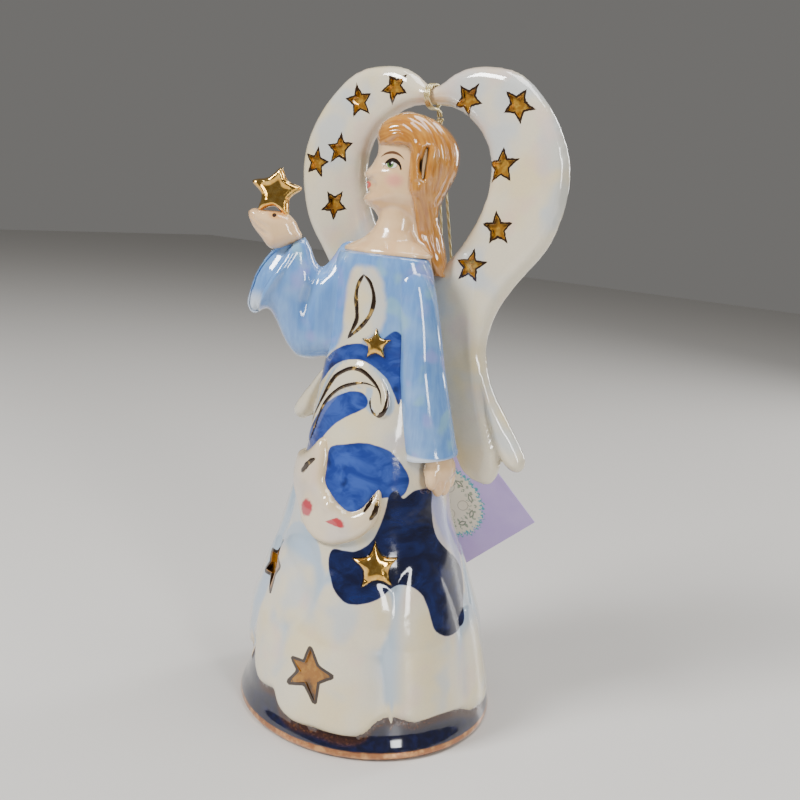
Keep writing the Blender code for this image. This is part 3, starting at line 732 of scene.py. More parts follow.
def body_paint():
    """Everything painted on the skirt and torso, laid over each other as the painter did."""
    paint = Paint("painted_bell_glaze")
    rough_edge = (paint.noise(3.0, 3.0) - 0.5) * 0.9
    pearl = pearl_colour_and_sheen(paint)
    # Painted shade: the pearl turns blue-grey in the valleys between the cloud puffs
    valley_shade = paint.field("valley_shade")
    pearl = paint.mix(valley_shade.step(0.0, 1.0) * 0.8, pearl, (0.34, 0.47, 0.62))
    colour = pearl
    robe = (paint.field("robe") + rough_edge * 2.0).step(-0.9, 0.9)
    colour = paint.mix(robe, colour, blue_colour(paint))
    cream = (paint.field("cream") + rough_edge * 1.4).step(-1.2, 0.7)
    colour = paint.mix(cream, colour, pearl)
    wash = (paint.field("wash") + rough_edge * 2.0).step(-1.5, 1.5)
    colour = paint.mix(wash * 0.75, colour, (0.20, 0.25, 0.58))
    cobalt = paint.field("cobalt") + rough_edge * 0.4
    night = paint.field("night") + rough_edge * 0.4
    medium = cobalt_colour(paint, cobalt.step(2.6, 0.1) * 0.25)
    colour = paint.mix(cobalt.step(-0.22, 0.15), colour, medium)
    darkest = cobalt_colour(paint, night.step(-0.9, 0.3))
    colour = paint.mix(night.step(-0.25, 0.12), colour, darkest)
    cap = paint.field("cap")
    colour = paint.mix(cap.step(-0.15, 0.25), colour, pearl)
    stroke = paint.field("stroke") + rough_edge * 0.4
    colour = paint.mix(stroke.step(-0.2, 0.15), colour, cobalt_colour(paint, 0.1))
    edge = paint.field("cloud") + rough_edge * 0.2
    mottle = paint.noise(1.4, 3.0).step(0.4, 0.75)
    navy = paint.mix(mottle, (0.003, 0.004, 0.020), (0.006, 0.009, 0.050))
    speck = paint.noise(0.7, 3.0).step(0.45, 0.75)
    brown = paint.mix(speck, (0.040, 0.014, 0.012), (0.11, 0.042, 0.016))
    band = paint.mix(edge.step(-2.6, -1.2), navy, brown)
    up = paint.split(paint.spot())[2]
    colour = paint.mix(edge.step(0.18, -0.12), colour, band)
    rim = (up + rough_edge * 0.3).step(2.5, 2.1)
    worn = paint.noise(2.6, 4.0, None, 0.6).step(0.45, 0.7)
    copper = paint.mix(worn, (0.42, 0.16, 0.055), (0.80, 0.42, 0.16))
    colour = paint.mix(rim, colour, copper)
    star = paint.field("star")
    shaky = star + rough_edge * 0.3
    # Painted dark reflection: a dark brown ring round each pressed star of the skirt
    colour = paint.mix(shaky.step(-0.85, -0.65), colour, GROOVE_REFLECTION_BROWN)
    ochre = paint.mix(0.75, satin_gold(paint), (0.23, 0.075, 0.0))
    colour = paint.mix(shaky.step(-0.06, 0.10), colour, ochre)
    metal = (rim * 0.95).greatest(shaky.step(-0.85, -0.65) * 0.25)
    metal = metal.greatest(shaky.step(-0.06, 0.10) * 0.30)
    metal = metal.greatest(edge.step(-2.2, -1.4) * edge.step(0.1, -0.1) * 0.1)
    rough = 0.10 + rim * paint.noise(1.5, 2.0) * 0.25
    return glazed(paint, colour, rough, metal)


def starred_paint(name, stars):
    """Pearl glaze with small gold stars, each with a dark brown outline.

    stars are (across, up, size, turn, lean) in millimetres and degrees, seen from the front.
    """
    paint = Paint(name)
    x, y, z = paint.split(paint.spot())
    nearest = None
    for across, up, size, turn, lean in stars:
        v = z - up
        u = x - across - v * lean
        reach = (u * u + v * v).maths('SQRT')
        angle = u.maths('ARCTAN2', v) + math.radians(turn) + math.radians(360.0)
        wedge = angle.maths('MODULO', math.radians(72.0)) - math.radians(36.0)
        fold = math.radians(36.0) - wedge.size()
        tip_u = reach * fold.sine()
        tip_v = reach * fold.maths('COSINE')
        a, b, c = star_side(size)
        inside = c - a * tip_u - b * tip_v
        nearest = inside if nearest is None else nearest.greatest(inside)
    shaky = nearest + (paint.noise(1.3, 2.0) - 0.5) * 0.7
    front = y.step(7.2, 6.8)
    # Painted dark reflection: the dark brown ring round each wing star
    ring = shaky.step(-0.62, -0.48) * front
    heart = shaky.step(-0.10, 0.06) * front
    colour = paint.mix(ring, pearl_colour_and_sheen(paint), GROOVE_REFLECTION_BROWN)
    colour = paint.mix(heart, colour, satin_gold(paint))
    return glazed(paint, colour, 0.10, (ring * 0.25).greatest(heart * 0.55))


def star_side(size):
    """The line of a star's side, as (a, b, c) of a u + b v = c, u and v in its tip's wedge."""
    inner = STAR_WAIST * size
    tip = (0.0, size)
    notch = (inner * math.sin(math.radians(36.0)), inner * math.cos(math.radians(36.0)))
    a, b = tip[1] - notch[1], notch[0] - tip[0]
    scale = math.hypot(a, b)
    return a / scale, b / scale, (a * tip[0] + b * tip[1]) / scale


def skin_paint():
    """Flesh glaze with the painted eye, brow, lips and blush on both sides."""
    paint = Paint("skin_glaze")
    tone = paint.noise(5.0, 2.0)
    base = tuple(colours().skin)
    colour = paint.mix(tone.step(0.4, 0.7) * 0.6, base, (0.72, 0.42, 0.20))
    spot = paint.spot()
    x, y, z = paint.split(spot)
    s = x * float(ALONG[0]) + y * float(ALONG[1])

    def egg(across, up, wide, tall, tilt=0.0):
        """How far out of an egg shape a point is: 1 on its edge."""
        c, k = math.cos(math.radians(tilt)), math.sin(math.radians(tilt))
        a = ((s - across) * c + (z - up) * k) / wide
        b = ((z - up) * c - (s - across) * k) / tall
        return (a * a + b * b).maths('SQRT')

    def arc(across, up, radius, width, left, right):
        """A brush line along part of a circle, thinning to its ends."""
        reach = ((s - across) * (s - across) + (z - up) * (z - up)).maths('SQRT')
        taper = (s - left) * (right - s) / ((right - left) * 0.5) ** 2
        upper = (z - up).step(0.0, 0.2)
        stroke = ((reach - radius).size() - taper.greatest(0.0) * width).step(0.06, -0.06)
        return stroke * taper.step(0.0, 0.05) * upper

    blush = egg(-4.2, 141.0, 3.2, 2.4).step(1.0, 0.2)
    colour = paint.mix(blush * 0.70, colour, (0.78, 0.27, 0.22))
    white = egg(-5.3, 144.7, 1.45, 0.85, -6.0).step(1.08, 0.92)
    colour = paint.mix(white, colour, (0.88, 0.84, 0.76))
    iris = egg(-5.5, 144.8, 0.84, 0.92).step(1.08, 0.92) * white
    colour = paint.mix(iris, colour, (0.08, 0.17, 0.04))
    pupil = egg(-5.5, 144.8, 0.42, 0.50).step(1.1, 0.9) * white
    colour = paint.mix(pupil, colour, (0.006, 0.006, 0.006))
    glint = egg(-5.2, 145.1, 0.16, 0.16).step(1.15, 0.85)
    colour = paint.mix(glint, colour, (0.9, 0.9, 0.9))
    lash = arc(-5.0, 143.5, 2.25, 0.55, -7.3, -2.3)
    lid = (egg(-5.3, 144.7, 1.5, 0.9, -6.0) - 1.0).size().step(0.10, 0.03)
    lower = lid * (144.9 - z).step(0.0, 0.3)
    colour = paint.mix(lash.greatest(lower * 0.6), colour, (0.014, 0.006, 0.003))
    brow = arc(-5.2, 143.8, 3.75, 0.34, -8.1, -2.1)
    colour = paint.mix(brow * 0.95, colour, (0.085, 0.030, 0.012))
    lips = egg(-11.3, 139.5, 1.45, 1.05).step(1.1, 0.8)
    colour = paint.mix(lips * 0.95, colour, (0.60, 0.075, 0.065))
    nostril = egg(-10.35, 141.2, 0.28, 0.18).step(1.2, 0.6)
    colour = paint.mix(nostril * 0.6, colour, (0.55, 0.22, 0.15))
    # An orange patch and a dark dot on the raised hand, just under the held star
    orange_under_star = egg(-33.2, 130.2, 2.2, 1.5).step(1.2, 0.5)
    colour = paint.mix(orange_under_star * 0.75, colour, (0.72, 0.34, 0.09))
    dark_dot_under_star = egg(-33.6, 129.9, 0.55, 0.5).step(1.15, 0.85)
    colour = paint.mix(dark_dot_under_star, colour, (0.03, 0.012, 0.008))
    return glazed(paint, colour, 0.16)


def hair_paint():
    """Ginger-blond wash that sank into the combed grooves."""
    paint = Paint("hair_glaze")
    strand = paint.field("strand")
    groove = paint.field("groove")
    up = paint.split(paint.spot())[2]
    flow = paint.node("ShaderNodeCombineXYZ", None, (strand, up * 0.10, 0.0))
    comb = paint.noise(0.55, 3.0, flow, 0.6)
    wash = paint.noise(4.0, 3.0)
    base = tuple(colours().hair)
    colour = paint.mix(comb.step(0.35, 0.68), base, (0.40, 0.15, 0.020))
    colour = paint.mix(wash.step(0.40, 0.70) * 0.55, colour, (0.60, 0.29, 0.06))
    colour = paint.mix(groove.step(0.25, 0.9) * 0.45, colour, (0.34, 0.115, 0.015))
    # Painted shade: near black down the deep slit in the hair
    colour = paint.mix(groove.step(1.05, 1.45), colour, (0.010, 0.004, 0.002))
    return glazed(paint, colour, 0.13, 0.0, comb * 0.1)


def moon_paint():
    """The moon's face: cream, with rosy cheek and lips and a yellow-shaded edge."""
    paint = Paint("moon_glaze")
    around = paint.field("around")
    up = paint.field("up")
    colour = paint.mix(0.5, pearl_colour_and_sheen(paint), (0.74, 0.56, 0.40))
    # Painted shade: darker yellow on the moon's rounded edge
    edge = paint.field("edge")
    colour = paint.mix(edge.step(2.2, 0.4) * 0.50, colour, (0.58, 0.43, 0.18))

    def egg(across, height, wide, tall):
        a = (around - across) / wide
        b = (up - height) / tall
        return (a * a + b * b).maths('SQRT') + (paint.noise(0.8, 2.0) - 0.5) * 0.35

    blush = egg(-5.0, 59.0, 2.0, 2.2).step(1.15, 0.75)
    colour = paint.mix(blush * 0.92, colour, (0.44, 0.015, 0.045))
    # The pout: two petals that meet in a point at the left
    petal = (around - 0.9) * 0.62 - (up - 57.2)
    lower = (around - 0.9) * 0.12 + (up - 57.4)
    lips = petal.least(lower + 0.25).least(1.6 - egg(3.0, 57.2, 1.8, 1.25))
    lips = lips + (paint.noise(0.7, 2.0) - 0.5) * 0.3
    colour = paint.mix(lips.step(-0.12, 0.25) * 0.95, colour, (0.47, 0.022, 0.04))
    return glazed(paint, colour)


def brass_paint():
    paint = Paint("brass_wire")
    tarnish = paint.noise(1.5, 4.0)
    colour = paint.mix(tarnish.step(0.4, 0.7), (0.72, 0.52, 0.22), (0.42, 0.27, 0.10))
    drawn = paint.noise(0.25, 2.0)
    return paint.finish(Base_Color=colour, Metallic=1.0, Roughness=drawn * 0.25 + 0.22,
                        Normal=paint.bump(drawn, 0.02))


def cord_paint():
    """Metallic thread: pale gold and silver filaments laid in a twist."""
    paint = Paint("metallic_cord")
    lay = paint.field("lay")
    ply = lay.sine() * 0.5 + 0.5
    glitter = paint.noise(0.16, 2.0)
    colour = paint.mix(ply.step(0.2, 0.8), (0.46, 0.34, 0.12), (0.74, 0.66, 0.40))
    colour = paint.mix(glitter.step(0.5, 0.7) * 0.5, colour, (0.92, 0.88, 0.66))
    return paint.finish(Base_Color=colour, Metallic=0.75, Roughness=glitter * 0.3 + 0.22,
                        Normal=paint.bump(ply + glitter * 0.5, 0.04))


def card_paint():
    """Lavender card; a cream oval with a lace edge and a wreath of fine scrolls on its front."""
    paint = Paint("tag_card")
    uv = paint.node("ShaderNodeUVMap", {"uv_map": "card"})
    a, b = paint.split(uv)[:2]
    a = a * CARD_SPAN - CARD_SPAN / 2.0
    b = b * CARD_SPAN - CARD_SPAN / 2.0
    front = paint.field("front").step(0.4, 0.6)
    fibre = paint.noise(0.5, 4.0, None, 0.7)
    mottle = paint.noise(6.0, 2.0)
    lavender = paint.mix(mottle.step(0.3, 0.7) * 0.5, tuple(colours().card), (0.52, 0.41, 0.72))
    reach = ((a / 8.5) * (a / 8.5) + (b / 11.5) * (b / 11.5)).maths('SQRT')
    angle = (a / 8.5).maths('ARCTAN2', b / 11.5)
    lace = (angle * 44.0).sine() * 0.035 + (angle * 17.0).sine() * 0.02
    oval = (reach + lace).step(1.02, 0.99)
    border = ((reach + lace) - 1.0).size().step(0.085, 0.03)
    open_work = paint.noise(0.55, 2.0).step(0.42, 0.52)
    paper = paint.mix(mottle.step(0.4, 0.7) * 0.4, (0.72, 0.66, 0.55), (0.62, 0.55, 0.42))
    colour = paint.mix(oval * front, lavender, paper)
    colour = paint.mix(border * open_work * front, colour, (0.05, 0.34, 0.40))
    inner = (reach - 0.70).size()
    stem = (inner + (angle * 9.0).sine() * 0.05).size().step(0.030, 0.012)
    leaves = (inner - 0.09).size() - (angle * 26.0).sine() * 0.055
    sprays = leaves.step(0.030, 0.010) * paint.noise(0.9, 2.0).step(0.40, 0.55)
    colour = paint.mix(stem * oval * front * 0.85, colour, (0.10, 0.14, 0.10))
    colour = paint.mix(sprays * oval * front * 0.8, colour, (0.16, 0.24, 0.16))
    left, low = a.size() - 2.4, b.size() - 3.4
    scroll = (left * left + low * low).maths('SQRT')
    curl = (scroll - 1.5).size().step(0.14, 0.05)
    colour = paint.mix(curl * front * 0.7, colour, (0.20, 0.16, 0.10))
    return paint.finish(Base_Color=colour, Roughness=fibre * 0.2 + 0.55,
                        Normal=paint.bump(fibre + mottle * 0.3, 0.03))


def clapper_paint():
    """Plain white glaze, with the fine crackle of an old kiln load."""
    paint = Paint("clapper_glaze")
    crackle = paint.node("ShaderNodeTexVoronoi", {"feature": 'DISTANCE_TO_EDGE'},
                         {"Vector": paint.spot(), "Scale": 0.45})
    colour = paint.mix(crackle.step(0.05, 0.0) * 0.35, pearl_colour_and_sheen(paint), (0.45, 0.36, 0.25))
    return glazed(paint, colour)


# ---------------------------------------------------------------- bell body

BODY_STEPS = 300
ROW_STEP = 0.7
# Painted patches: bearing and height round each one's edge
UPPER_SWATH = [
    (-62, 87), (-62, 92.5), (-36, 97), (-15, 99.8), (3, 101), (16, 100.8), (28, 103.2),
    (39, 105.2), (49, 103), (57, 94), (52.6, 90.6), (48.6, 87.4), (44, 89.4), (37, 92.6),
    (30, 94.4), (18, 96.2), (5, 97), (-12, 96.2), (-29, 93.8), (-44, 90),
]
CAP_STROKE = [
    (-41, 66.6), (-45, 72), (-37, 78.6), (-24, 84.4), (-8, 88), (8, 89.4), (17, 88.6),
    (19.6, 86.4), (12, 84.6), (-2, 82), (-13, 79), (-23, 74.6), (-30, 68.6), (-36, 65.4),
]
SKY_PATCH = [
    (-9.4, 72), (-8, 74.6), (3, 76), (18, 77.2), (29, 77.2), (42.5, 76), (52, 73.4), (60, 69.4),
    (57, 66), (50, 64.4), (41, 64.6), (31, 63), (20, 58), (8, 58), (-3, 62), (-9.8, 66),
]
NIGHT_PATCH = [
    (7.2, 47.6), (9, 50.4), (16, 50.6), (24, 51), (34, 54), (41, 60), (44, 65), (50, 66.4),
    (55, 64.4), (65, 66.2), (81, 65.6), (80, 60.6), (83, 53), (101.9, 45.5), (108.6, 40),
    (101, 34.7), (95, 30.8), (89, 29.6), (77, 29.6), (69.4, 31.6), (67.5, 34.3), (66.2, 37.6),
    (63.4, 41), (57, 43.2), (50, 43.4), (44, 42), (37, 40), (26.2, 38.6), (18.5, 39.3),
    (11, 43),
]
LILAC_WASH = [(76, 66), (88, 67), (100, 60), (114, 47), (108, 41), (98, 47), (84, 56)]
CREAM_PATCH = [
    (-10.8, 119.2), (-19.2, 114.7), (-20.5, 108.5), (-21, 102), (-27, 98.4), (-16, 97.4),
    (-5, 99.4), (8.2, 102.1), (22.7, 105.1), (26, 110.1), (22.5, 114.9), (13.6, 119.4),
]
# Lower edge of the painted robe: bearing and height
ROBE_EDGE = [
    (-180, 84), (-120, 86), (-90, 91), (-62, 94), (-40, 97), (-18, 99.8), (10, 101), (30, 103),
    (46, 100), (60, 90), (90, 84), (130, 82), (180, 84),
]
# The painted patches that a field keeps, by its name
PATCHES = {
    "cobalt": (UPPER_SWATH, SKY_PATCH), "night": (NIGHT_PATCH,), "stroke": (CAP_STROKE,),
    "cap": (CAP_OUTLINE,), "cream": (CREAM_PATCH,), "wash": (LILAC_WASH,),
}
# Stars pressed into the clouds: bearing, height, and where their tips lie, round from the top
PRESSED_STARS = [
    (7.6, 20.0, [(-0.8, 5.9), (5.4, 0.6), (2.4, -6.4), (-5.4, -4.2), (-5.2, 1.8)]),
    (-38.0, 39.8, [(-0.5, 5.8), (4.2, 1.2), (2.2, -5.8), (-4.0, -3.0), (-4.4, 1.9)]),
    (140.0, 27.0, [(0.4, 5.6), (5.4, 1.8), (3.4, -4.8), (-3.2, -5.0), (-5.6, 1.6)]),
    (-112.0, 24.0, [(0.8, 5.6), (5.6, 1.2), (2.8, -5.2), (-3.8, -4.6), (-5.2, 2.2)]),
    (-178.0, 41.0, [(-0.6, 5.8), (5.0, 2.4), (3.8, -4.4), (-2.8, -5.2), (-5.6, 0.8)]),
    (168.0, 20.0, [(-0.2, 5.6), (5.6, 1.6), (3.2, -5.0), (-3.6, -4.8), (-5.4, 1.8)]),
]


# Middle to notch of a pressed star, its depth, how far its cutter stands out, and the slope
# of the skirt that it is square to
PRESSED_NOTCH, PRESSED_DEPTH, CUTTER_TOP = 2.7, 0.6, 4.0
SKIRT_SLOPE = 0.22


def hand_cut_star(tips, inner):
    """A star from its tips, its notches half way between them."""
    points = []
    for a, b in zip(tips, tips[1:] + tips[:1]):
        middle = np.array(a) / math.hypot(*a) + np.array(b) / math.hypot(*b)
        points += [a, tuple(inner * middle / np.linalg.norm(middle))]
    return np.array(points)


def puff_valley(bearing, z):
    """1 in the valleys between the puffs of cloud, 0 on their crowns."""
    ring = relief(bearing, z)
    near = [relief(bearing + turn, z) for turn in (-7.0, 7.0)]
    near += [relief(bearing, np.clip(z + rise, 4.0, 60.0)) for rise in (-4.0, 4.0)]
    inside = ease((z - cloud_edge(bearing) - 1.5) / 4.0)
    return ease((np.maximum.reduce(near) - ring - 0.12) / 0.6) * inside


def skirt_place(points):
    """Bearing and height of points near the body."""
    z = points[:, 2]
    inner = np.clip(z, 0.0, BODY_TOP)
    x = (points[:, 0] - LEAN[0] * z) / half_width(inner)
    y = (points[:, 1] - LEAN[1] * z) / half_depth(inner)
    return np.degrees(np.arctan2(x, -y)), z


def make_body():
    outer = [(0.0, BODY_TOP), (3.0, BODY_TOP), (6.0, BODY_TOP), (9.0, 123.25), (11.0, 123.1)]
    outer += [(float(half_width(z)), float(z)) for z in np.arange(122.6, 1.9, -ROW_STEP)]
    foot = [(34.95, 1.4), (34.8, 0.8), (34.5, 0.35), (34.0, 0.08), (33.4, 0.0), (32.8, 0.0),
            (32.3, 0.12), (32.05, 0.5)]
    inner = [(float(half_width(z)) - WALL, float(z)) for z in np.arange(1.5, 96.0, 4.5)]
    shoulder, low = inner[-1]
    inner += [(shoulder * math.cos(turn), low + (CAVITY_TOP - low) * math.sin(turn))
              for turn in np.radians([18.0, 36.0, 54.0, 72.0])]
    inner.append((0.0, CAVITY_TOP))
    mesh = spun(outer + foot + inner, BODY_STEPS)
    round_points = points_of(mesh)
    z = round_points[:, 2]
    reach = np.hypot(round_points[:, 0], round_points[:, 1])
    bearing = np.degrees(np.arctan2(round_points[:, 0], -round_points[:, 1]))
    skin = (reach > half_width(z) - 1.5) & (z > 2.0) & (z < 122.8)
    lift = reach - half_width(z) + np.where(skin, relief(bearing, z), 0.0)
    shape = on_skirt(bearing, z, lift)
    shape[~skin, 0] = (round_points[:, 0] + LEAN[0] * z)[~skin]
    shape[~skin, 1] = (round_points[:, 1] * half_depth(z) / half_width(z) + LEAN[1] * z)[~skin]
    move_to(mesh, shape)
    for turn, height, tips in PRESSED_STARS:
        block = prism(hand_cut_star(tips, PRESSED_NOTCH), -PRESSED_DEPTH, CUTTER_TOP)
        flat = points_of(block)
        centre = on_glaze(turn, np.array(height), 0.0)
        angle = math.radians(turn)
        out = np.array([math.sin(angle), -math.cos(angle), SKIRT_SLOPE])
        out /= np.linalg.norm(out)
        side = np.array([math.cos(angle), math.sin(angle), 0.0])
        up = np.cross(out, side)
        move_to(block, centre + flat[:, :1] * side + flat[:, 1:2] * up + flat[:, 2:] * out)
        mesh = cut_out(mesh, right_way_out(block))
    paint_fields(mesh)
    add_piece("painted_bell", mesh, body_paint(), nodes=["bell_body"], sharp=50.0)


def paint_fields(mesh):
    """Keep how deep each point of the body lies inside each painted patch."""
    bearing, z = skirt_place(points_of(mesh))
    flat = unroll(np.stack([bearing, z], 1))

    for name, outlines in PATCHES.items():
        smooth = [unroll(smooth_path(outline, 5, closed=True)) for outline in outlines]
        depths = [signed_distance(flat, outline) for outline in smooth]
        keep_field(mesh, name, np.maximum.reduce(depths))
    hem = smooth_path(ROBE_EDGE, 5)
    keep_field(mesh, "robe", z - np.interp(bearing, hem[:, 0], hem[:, 1]))
    keep_field(mesh, "cloud", (z - cloud_edge(bearing)) * 0.9)
    # How deep in a valley between puffs each point lies, for the painted shade there
    keep_field(mesh, "valley_shade", puff_valley(bearing, z))
    stars = []
    for turn, height, tips in PRESSED_STARS:
        centre = unroll([(turn, height)])[0]
        stars.append(signed_distance(flat - centre, hand_cut_star(tips, PRESSED_NOTCH)))
    keep_field(mesh, "star", np.maximum.reduce(stars))


# ---------------------------------------------------------------- gilding drawn with a brush

def moon_lift(flat):
    """How far the moon stands off the plain skirt at flat (around, up) points."""
    outline = unroll(smooth_path(MOON_OUTLINE, 4, closed=True))
    bearing = bearings(flat)
    proud = sizes().moon_height / MM * rounded(signed_distance(flat, outline), MOON_EDGE)
    return 0.5 * relief(bearing, flat[:, 1]) + proud


# How far a gilded line's middle lies above the glaze, and half its height
LINE_LIFT, LINE_HEIGHT = 0.03, 0.10


def brush_line(points, width, slim=0.6):
    """A line of lustre through (bearing, height) points, thin at its ends."""
    flat = even_path(smooth_path(unroll(points), 10), 0.45)
    bearing = bearings(flat)
    lift = np.maximum(relief(bearing, flat[:, 1]), moon_lift(flat)) + LINE_LIFT
    path = on_skirt(bearing, flat[:, 1], lift)
    out = on_skirt(bearing, flat[:, 1], lift + 1.0) - path
    share = np.linspace(0.0, 1.0, len(path))
    swell = np.maximum(np.sin(np.pi * share) ** slim, 0.06) * (1.0 + 0.12 * np.sin(share * 19.0))
    across = np.cross(np.gradient(path, axis=0), out)
    height = LINE_HEIGHT * np.minimum(swell * 2.0, 1.0)
    return bent_rod(path, width / 2.0 * swell, height, across, 8)


# Gilded lines: bearing and height of their points, their width, and how blunt their ends
MOON_LINES = [
    ([(-46, 75.4), (-38, 81), (-31.6, 84.9), (-20.5, 91), (-8, 93.8), (2, 94.8),
      (12, 94.4), (22.2, 92.6), (29.4, 90.2), (32, 87.2)], 1.3),
    ([(-38, 73.8), (-30, 81.4), (-23.4, 85.4), (-11.3, 89), (2.4, 91), (15.4, 91.8),
      (27.5, 91.0)], 0.95),
    ([(21.4, 88.4), (22.6, 86.8), (26, 85.0), (31, 84.5), (35.4, 85.8), (37, 88.6),
      (35.6, 91)], 1.25),
    ([(-30, 66.4), (-23, 69.2), (-15.5, 71.4)], 1.6, 0.4),
    ([(27.2, 61.0), (30.6, 63.0), (33.6, 65.4)], 1.3, 0.4),
    ([(31.4, 59.4), (34.6, 61.6), (36.2, 64.6)], 1.3, 0.4),
]
CHEST_LINES = [
    ([(0.3, 118), (-5.6, 115.4), (-7.2, 112.4), (-4.6, 109), (-4.2, 106.4),
      (-12.2, 101.8)], 1.3, 0.35),
    ([(0.0, 118), (8.8, 116), (13.8, 112.4), (11.2, 108.6), (1.6, 105),
      (-12.6, 101.6)], 1.15, 0.35),
]


def make_lines():
    for name, lines in (("moon_gilding", MOON_LINES), ("chest_gilding", CHEST_LINES)):
        strokes = [brush_line(*line) for line in lines]
        add_piece(name, joined(*strokes), line_paint())


# ---------------------------------------------------------------- raised sprigs

# The crescent with its face in profile: bearing and height
MOON_OUTLINE = [
    (-20, 76.4), (-30, 72.8), (-42, 71), (-54, 70.6), (-62, 68), (-60, 64.5), (-46, 61.4),
    (-30, 58.2), (-19.6, 54.6), (-9.4, 52), (2.5, 51), (14.2, 52), (25.1, 54), (33.3, 56.8),
    (38.4, 60.3), (39.4, 64.2), (36.8, 66.8), (33.2, 65.4), (29, 63.4), (23.6, 61.2),
    (16.4, 60.4), (8, 61.8), (-0.2, 64), (-6.6, 66.2), (-7.6, 69.4), (-9, 73), (-14, 76),
]
# Bumps of the moon's face: around, up, radius and height in millimetres
MOON_BUMPS = [
    (1.3, 61.0, 1.5, 0.85), (1.2, 62.6, 1.1, 0.5), (-5.2, 58.8, 2.6, 0.45),
    (3.4, 58.4, 1.7, 0.4), (5.0, 55.6, 2.2, 0.35), (-8.5, 65.6, 2.6, -0.35),
]


def make_moon():
    outline = unroll(smooth_path(MOON_OUTLINE, 4, closed=True))
    proud = sizes().moon_height / MM

    def rule(flat, depth):
        return proud * rounded(depth, MOON_EDGE) + 0.01

    mesh = even_skin(pillow(outline, 1.0, rule), 0.42, 3)
    flat = points_of(mesh)
    height = np.where(flat[:, 2] < 0.0, flat[:, 2] * 0.5, flat[:, 2])
    height += np.where(flat[:, 2] > 0.0, bumps(flat, MOON_BUMPS), 0.0)
    keep_field(mesh, "around", flat[:, 0])
    keep_field(mesh, "up", flat[:, 1])
    keep_field(mesh, "edge", signed_distance(flat[:, :2], outline))
    bearing = bearings(flat)
    base = 0.5 * relief(bearing, flat[:, 1])
    move_to(mesh, on_skirt(bearing, flat[:, 1], base + height))
    add_piece("moon_face", right_way_out(mesh), moon_paint(), nodes=["moon"])


# Raised stars: piece, the solid it stands for, size, bearing and height
RAISED_STARS = [
    ("gold_chest_star", "chest_star", 4.4, 20.5, 101.4),
    ("gold_skirt_star", "skirt_star", 6.5, 36.8, 47.9),
]


def make_sprig_stars():
    for name, node, size, bearing, height in RAISED_STARS:
        outline = star_points(size, 0.5 * size, 4.0, rounded_notches=True)
        thick = 0.24 * size

        def rule(flat, depth):
            return thick * rounded(depth, 0.30 * size) + 0.01

        mesh = even_skin(pillow(outline, 0.5, rule), 0.2, 3)
        flat = points_of(mesh)
        keep_field(mesh, "edge", np.maximum(flat[:, 2], 0.0) / thick)
        turn = bearing + np.degrees(flat[:, 0] / half_width(height))
        up = height + flat[:, 1]
        lift = relief(turn, up) + np.where(flat[:, 2] > 0.0, flat[:, 2], flat[:, 2] * 0.4) + 0.15
        move_to(mesh, on_skirt(turn, up, lift))
        add_piece(name, right_way_out(mesh), gold_paint(name + "_lustre", "edge"),
                  nodes=[node])


# ---------------------------------------------------------------- wings

# Outline of the angel's left wing, from the cleft over the lobe to the feather tips and back
WING_OUTLINE = [
    (-2.0, 165.2), (1.8, 165.7), (5.4, 168.2), (10.0, 169.9), (16.0, 170.3), (24.5, 168.3),
    (32.6, 161.0), (37.8, 152.5), (39.7, 144.4), (38.8, 136.0), (35.8, 127.6), (29.0, 118.6),
    (24.2, 110.3), (22.6, 101.5), (25.0, 92.5), (30.2, 85.0), (35.4, 78.0), (37.4, 74.2),
    (36.2, 71.6), (33.4, 71.5), (30.6, 73.6), (29.9, 69.4), (28.2, 66.5), (25.2, 66.1),
    (20.0, 68.4), (15.2, 76.0), (10.4, 84.0), (5.6, 93.0), (2.4, 102.0), (1.6, 111.0),
    (3.2, 116.5), (7.5, 120.4), (12.6, 126.6), (16.4, 133.4), (18.6, 140.4), (18.6, 147.0),
    (16.4, 152.6), (11.4, 157.6), (5.6, 160.3), (-2.0, 160.7),
]
FEATHER_GROOVE = [(30.5, 73.0), (28.2, 79.5), (25.4, 86.0), (22.6, 94.0), (20.6, 104.0)]
FEATHER_RIDGE = [(33.0, 76.0), (26.0, 87.0), (21.0, 98.0), (18.6, 110.0), (20.0, 122.0)]
# Stars pressed into each wing, as seen from the front: across, up, size, turn and lean
LEFT_STARS = [(11.7, 162.0, 3.1, -30.0, 0.12), (25.4, 161.0, 3.2, -28.0, -0.16),
              (22.9, 146.7, 3.3, 8.0, 0.14), (23.6, 131.8, 3.1, 6.0, -0.10),
              (17.3, 121.9, 3.2, 2.0, 0.18)]
RIGHT_STARS = [(-20.8, 160.8, 3.3, 10.0, -0.12), (-10.1, 164.5, 3.0, 34.0, 0.10),
               (-25.9, 148.4, 3.1, 6.0, 0.16), (-33.4, 144.4, 3.1, -12.0, -0.14),
               (-26.3, 133.6, 3.2, -30.0, 0.10)]


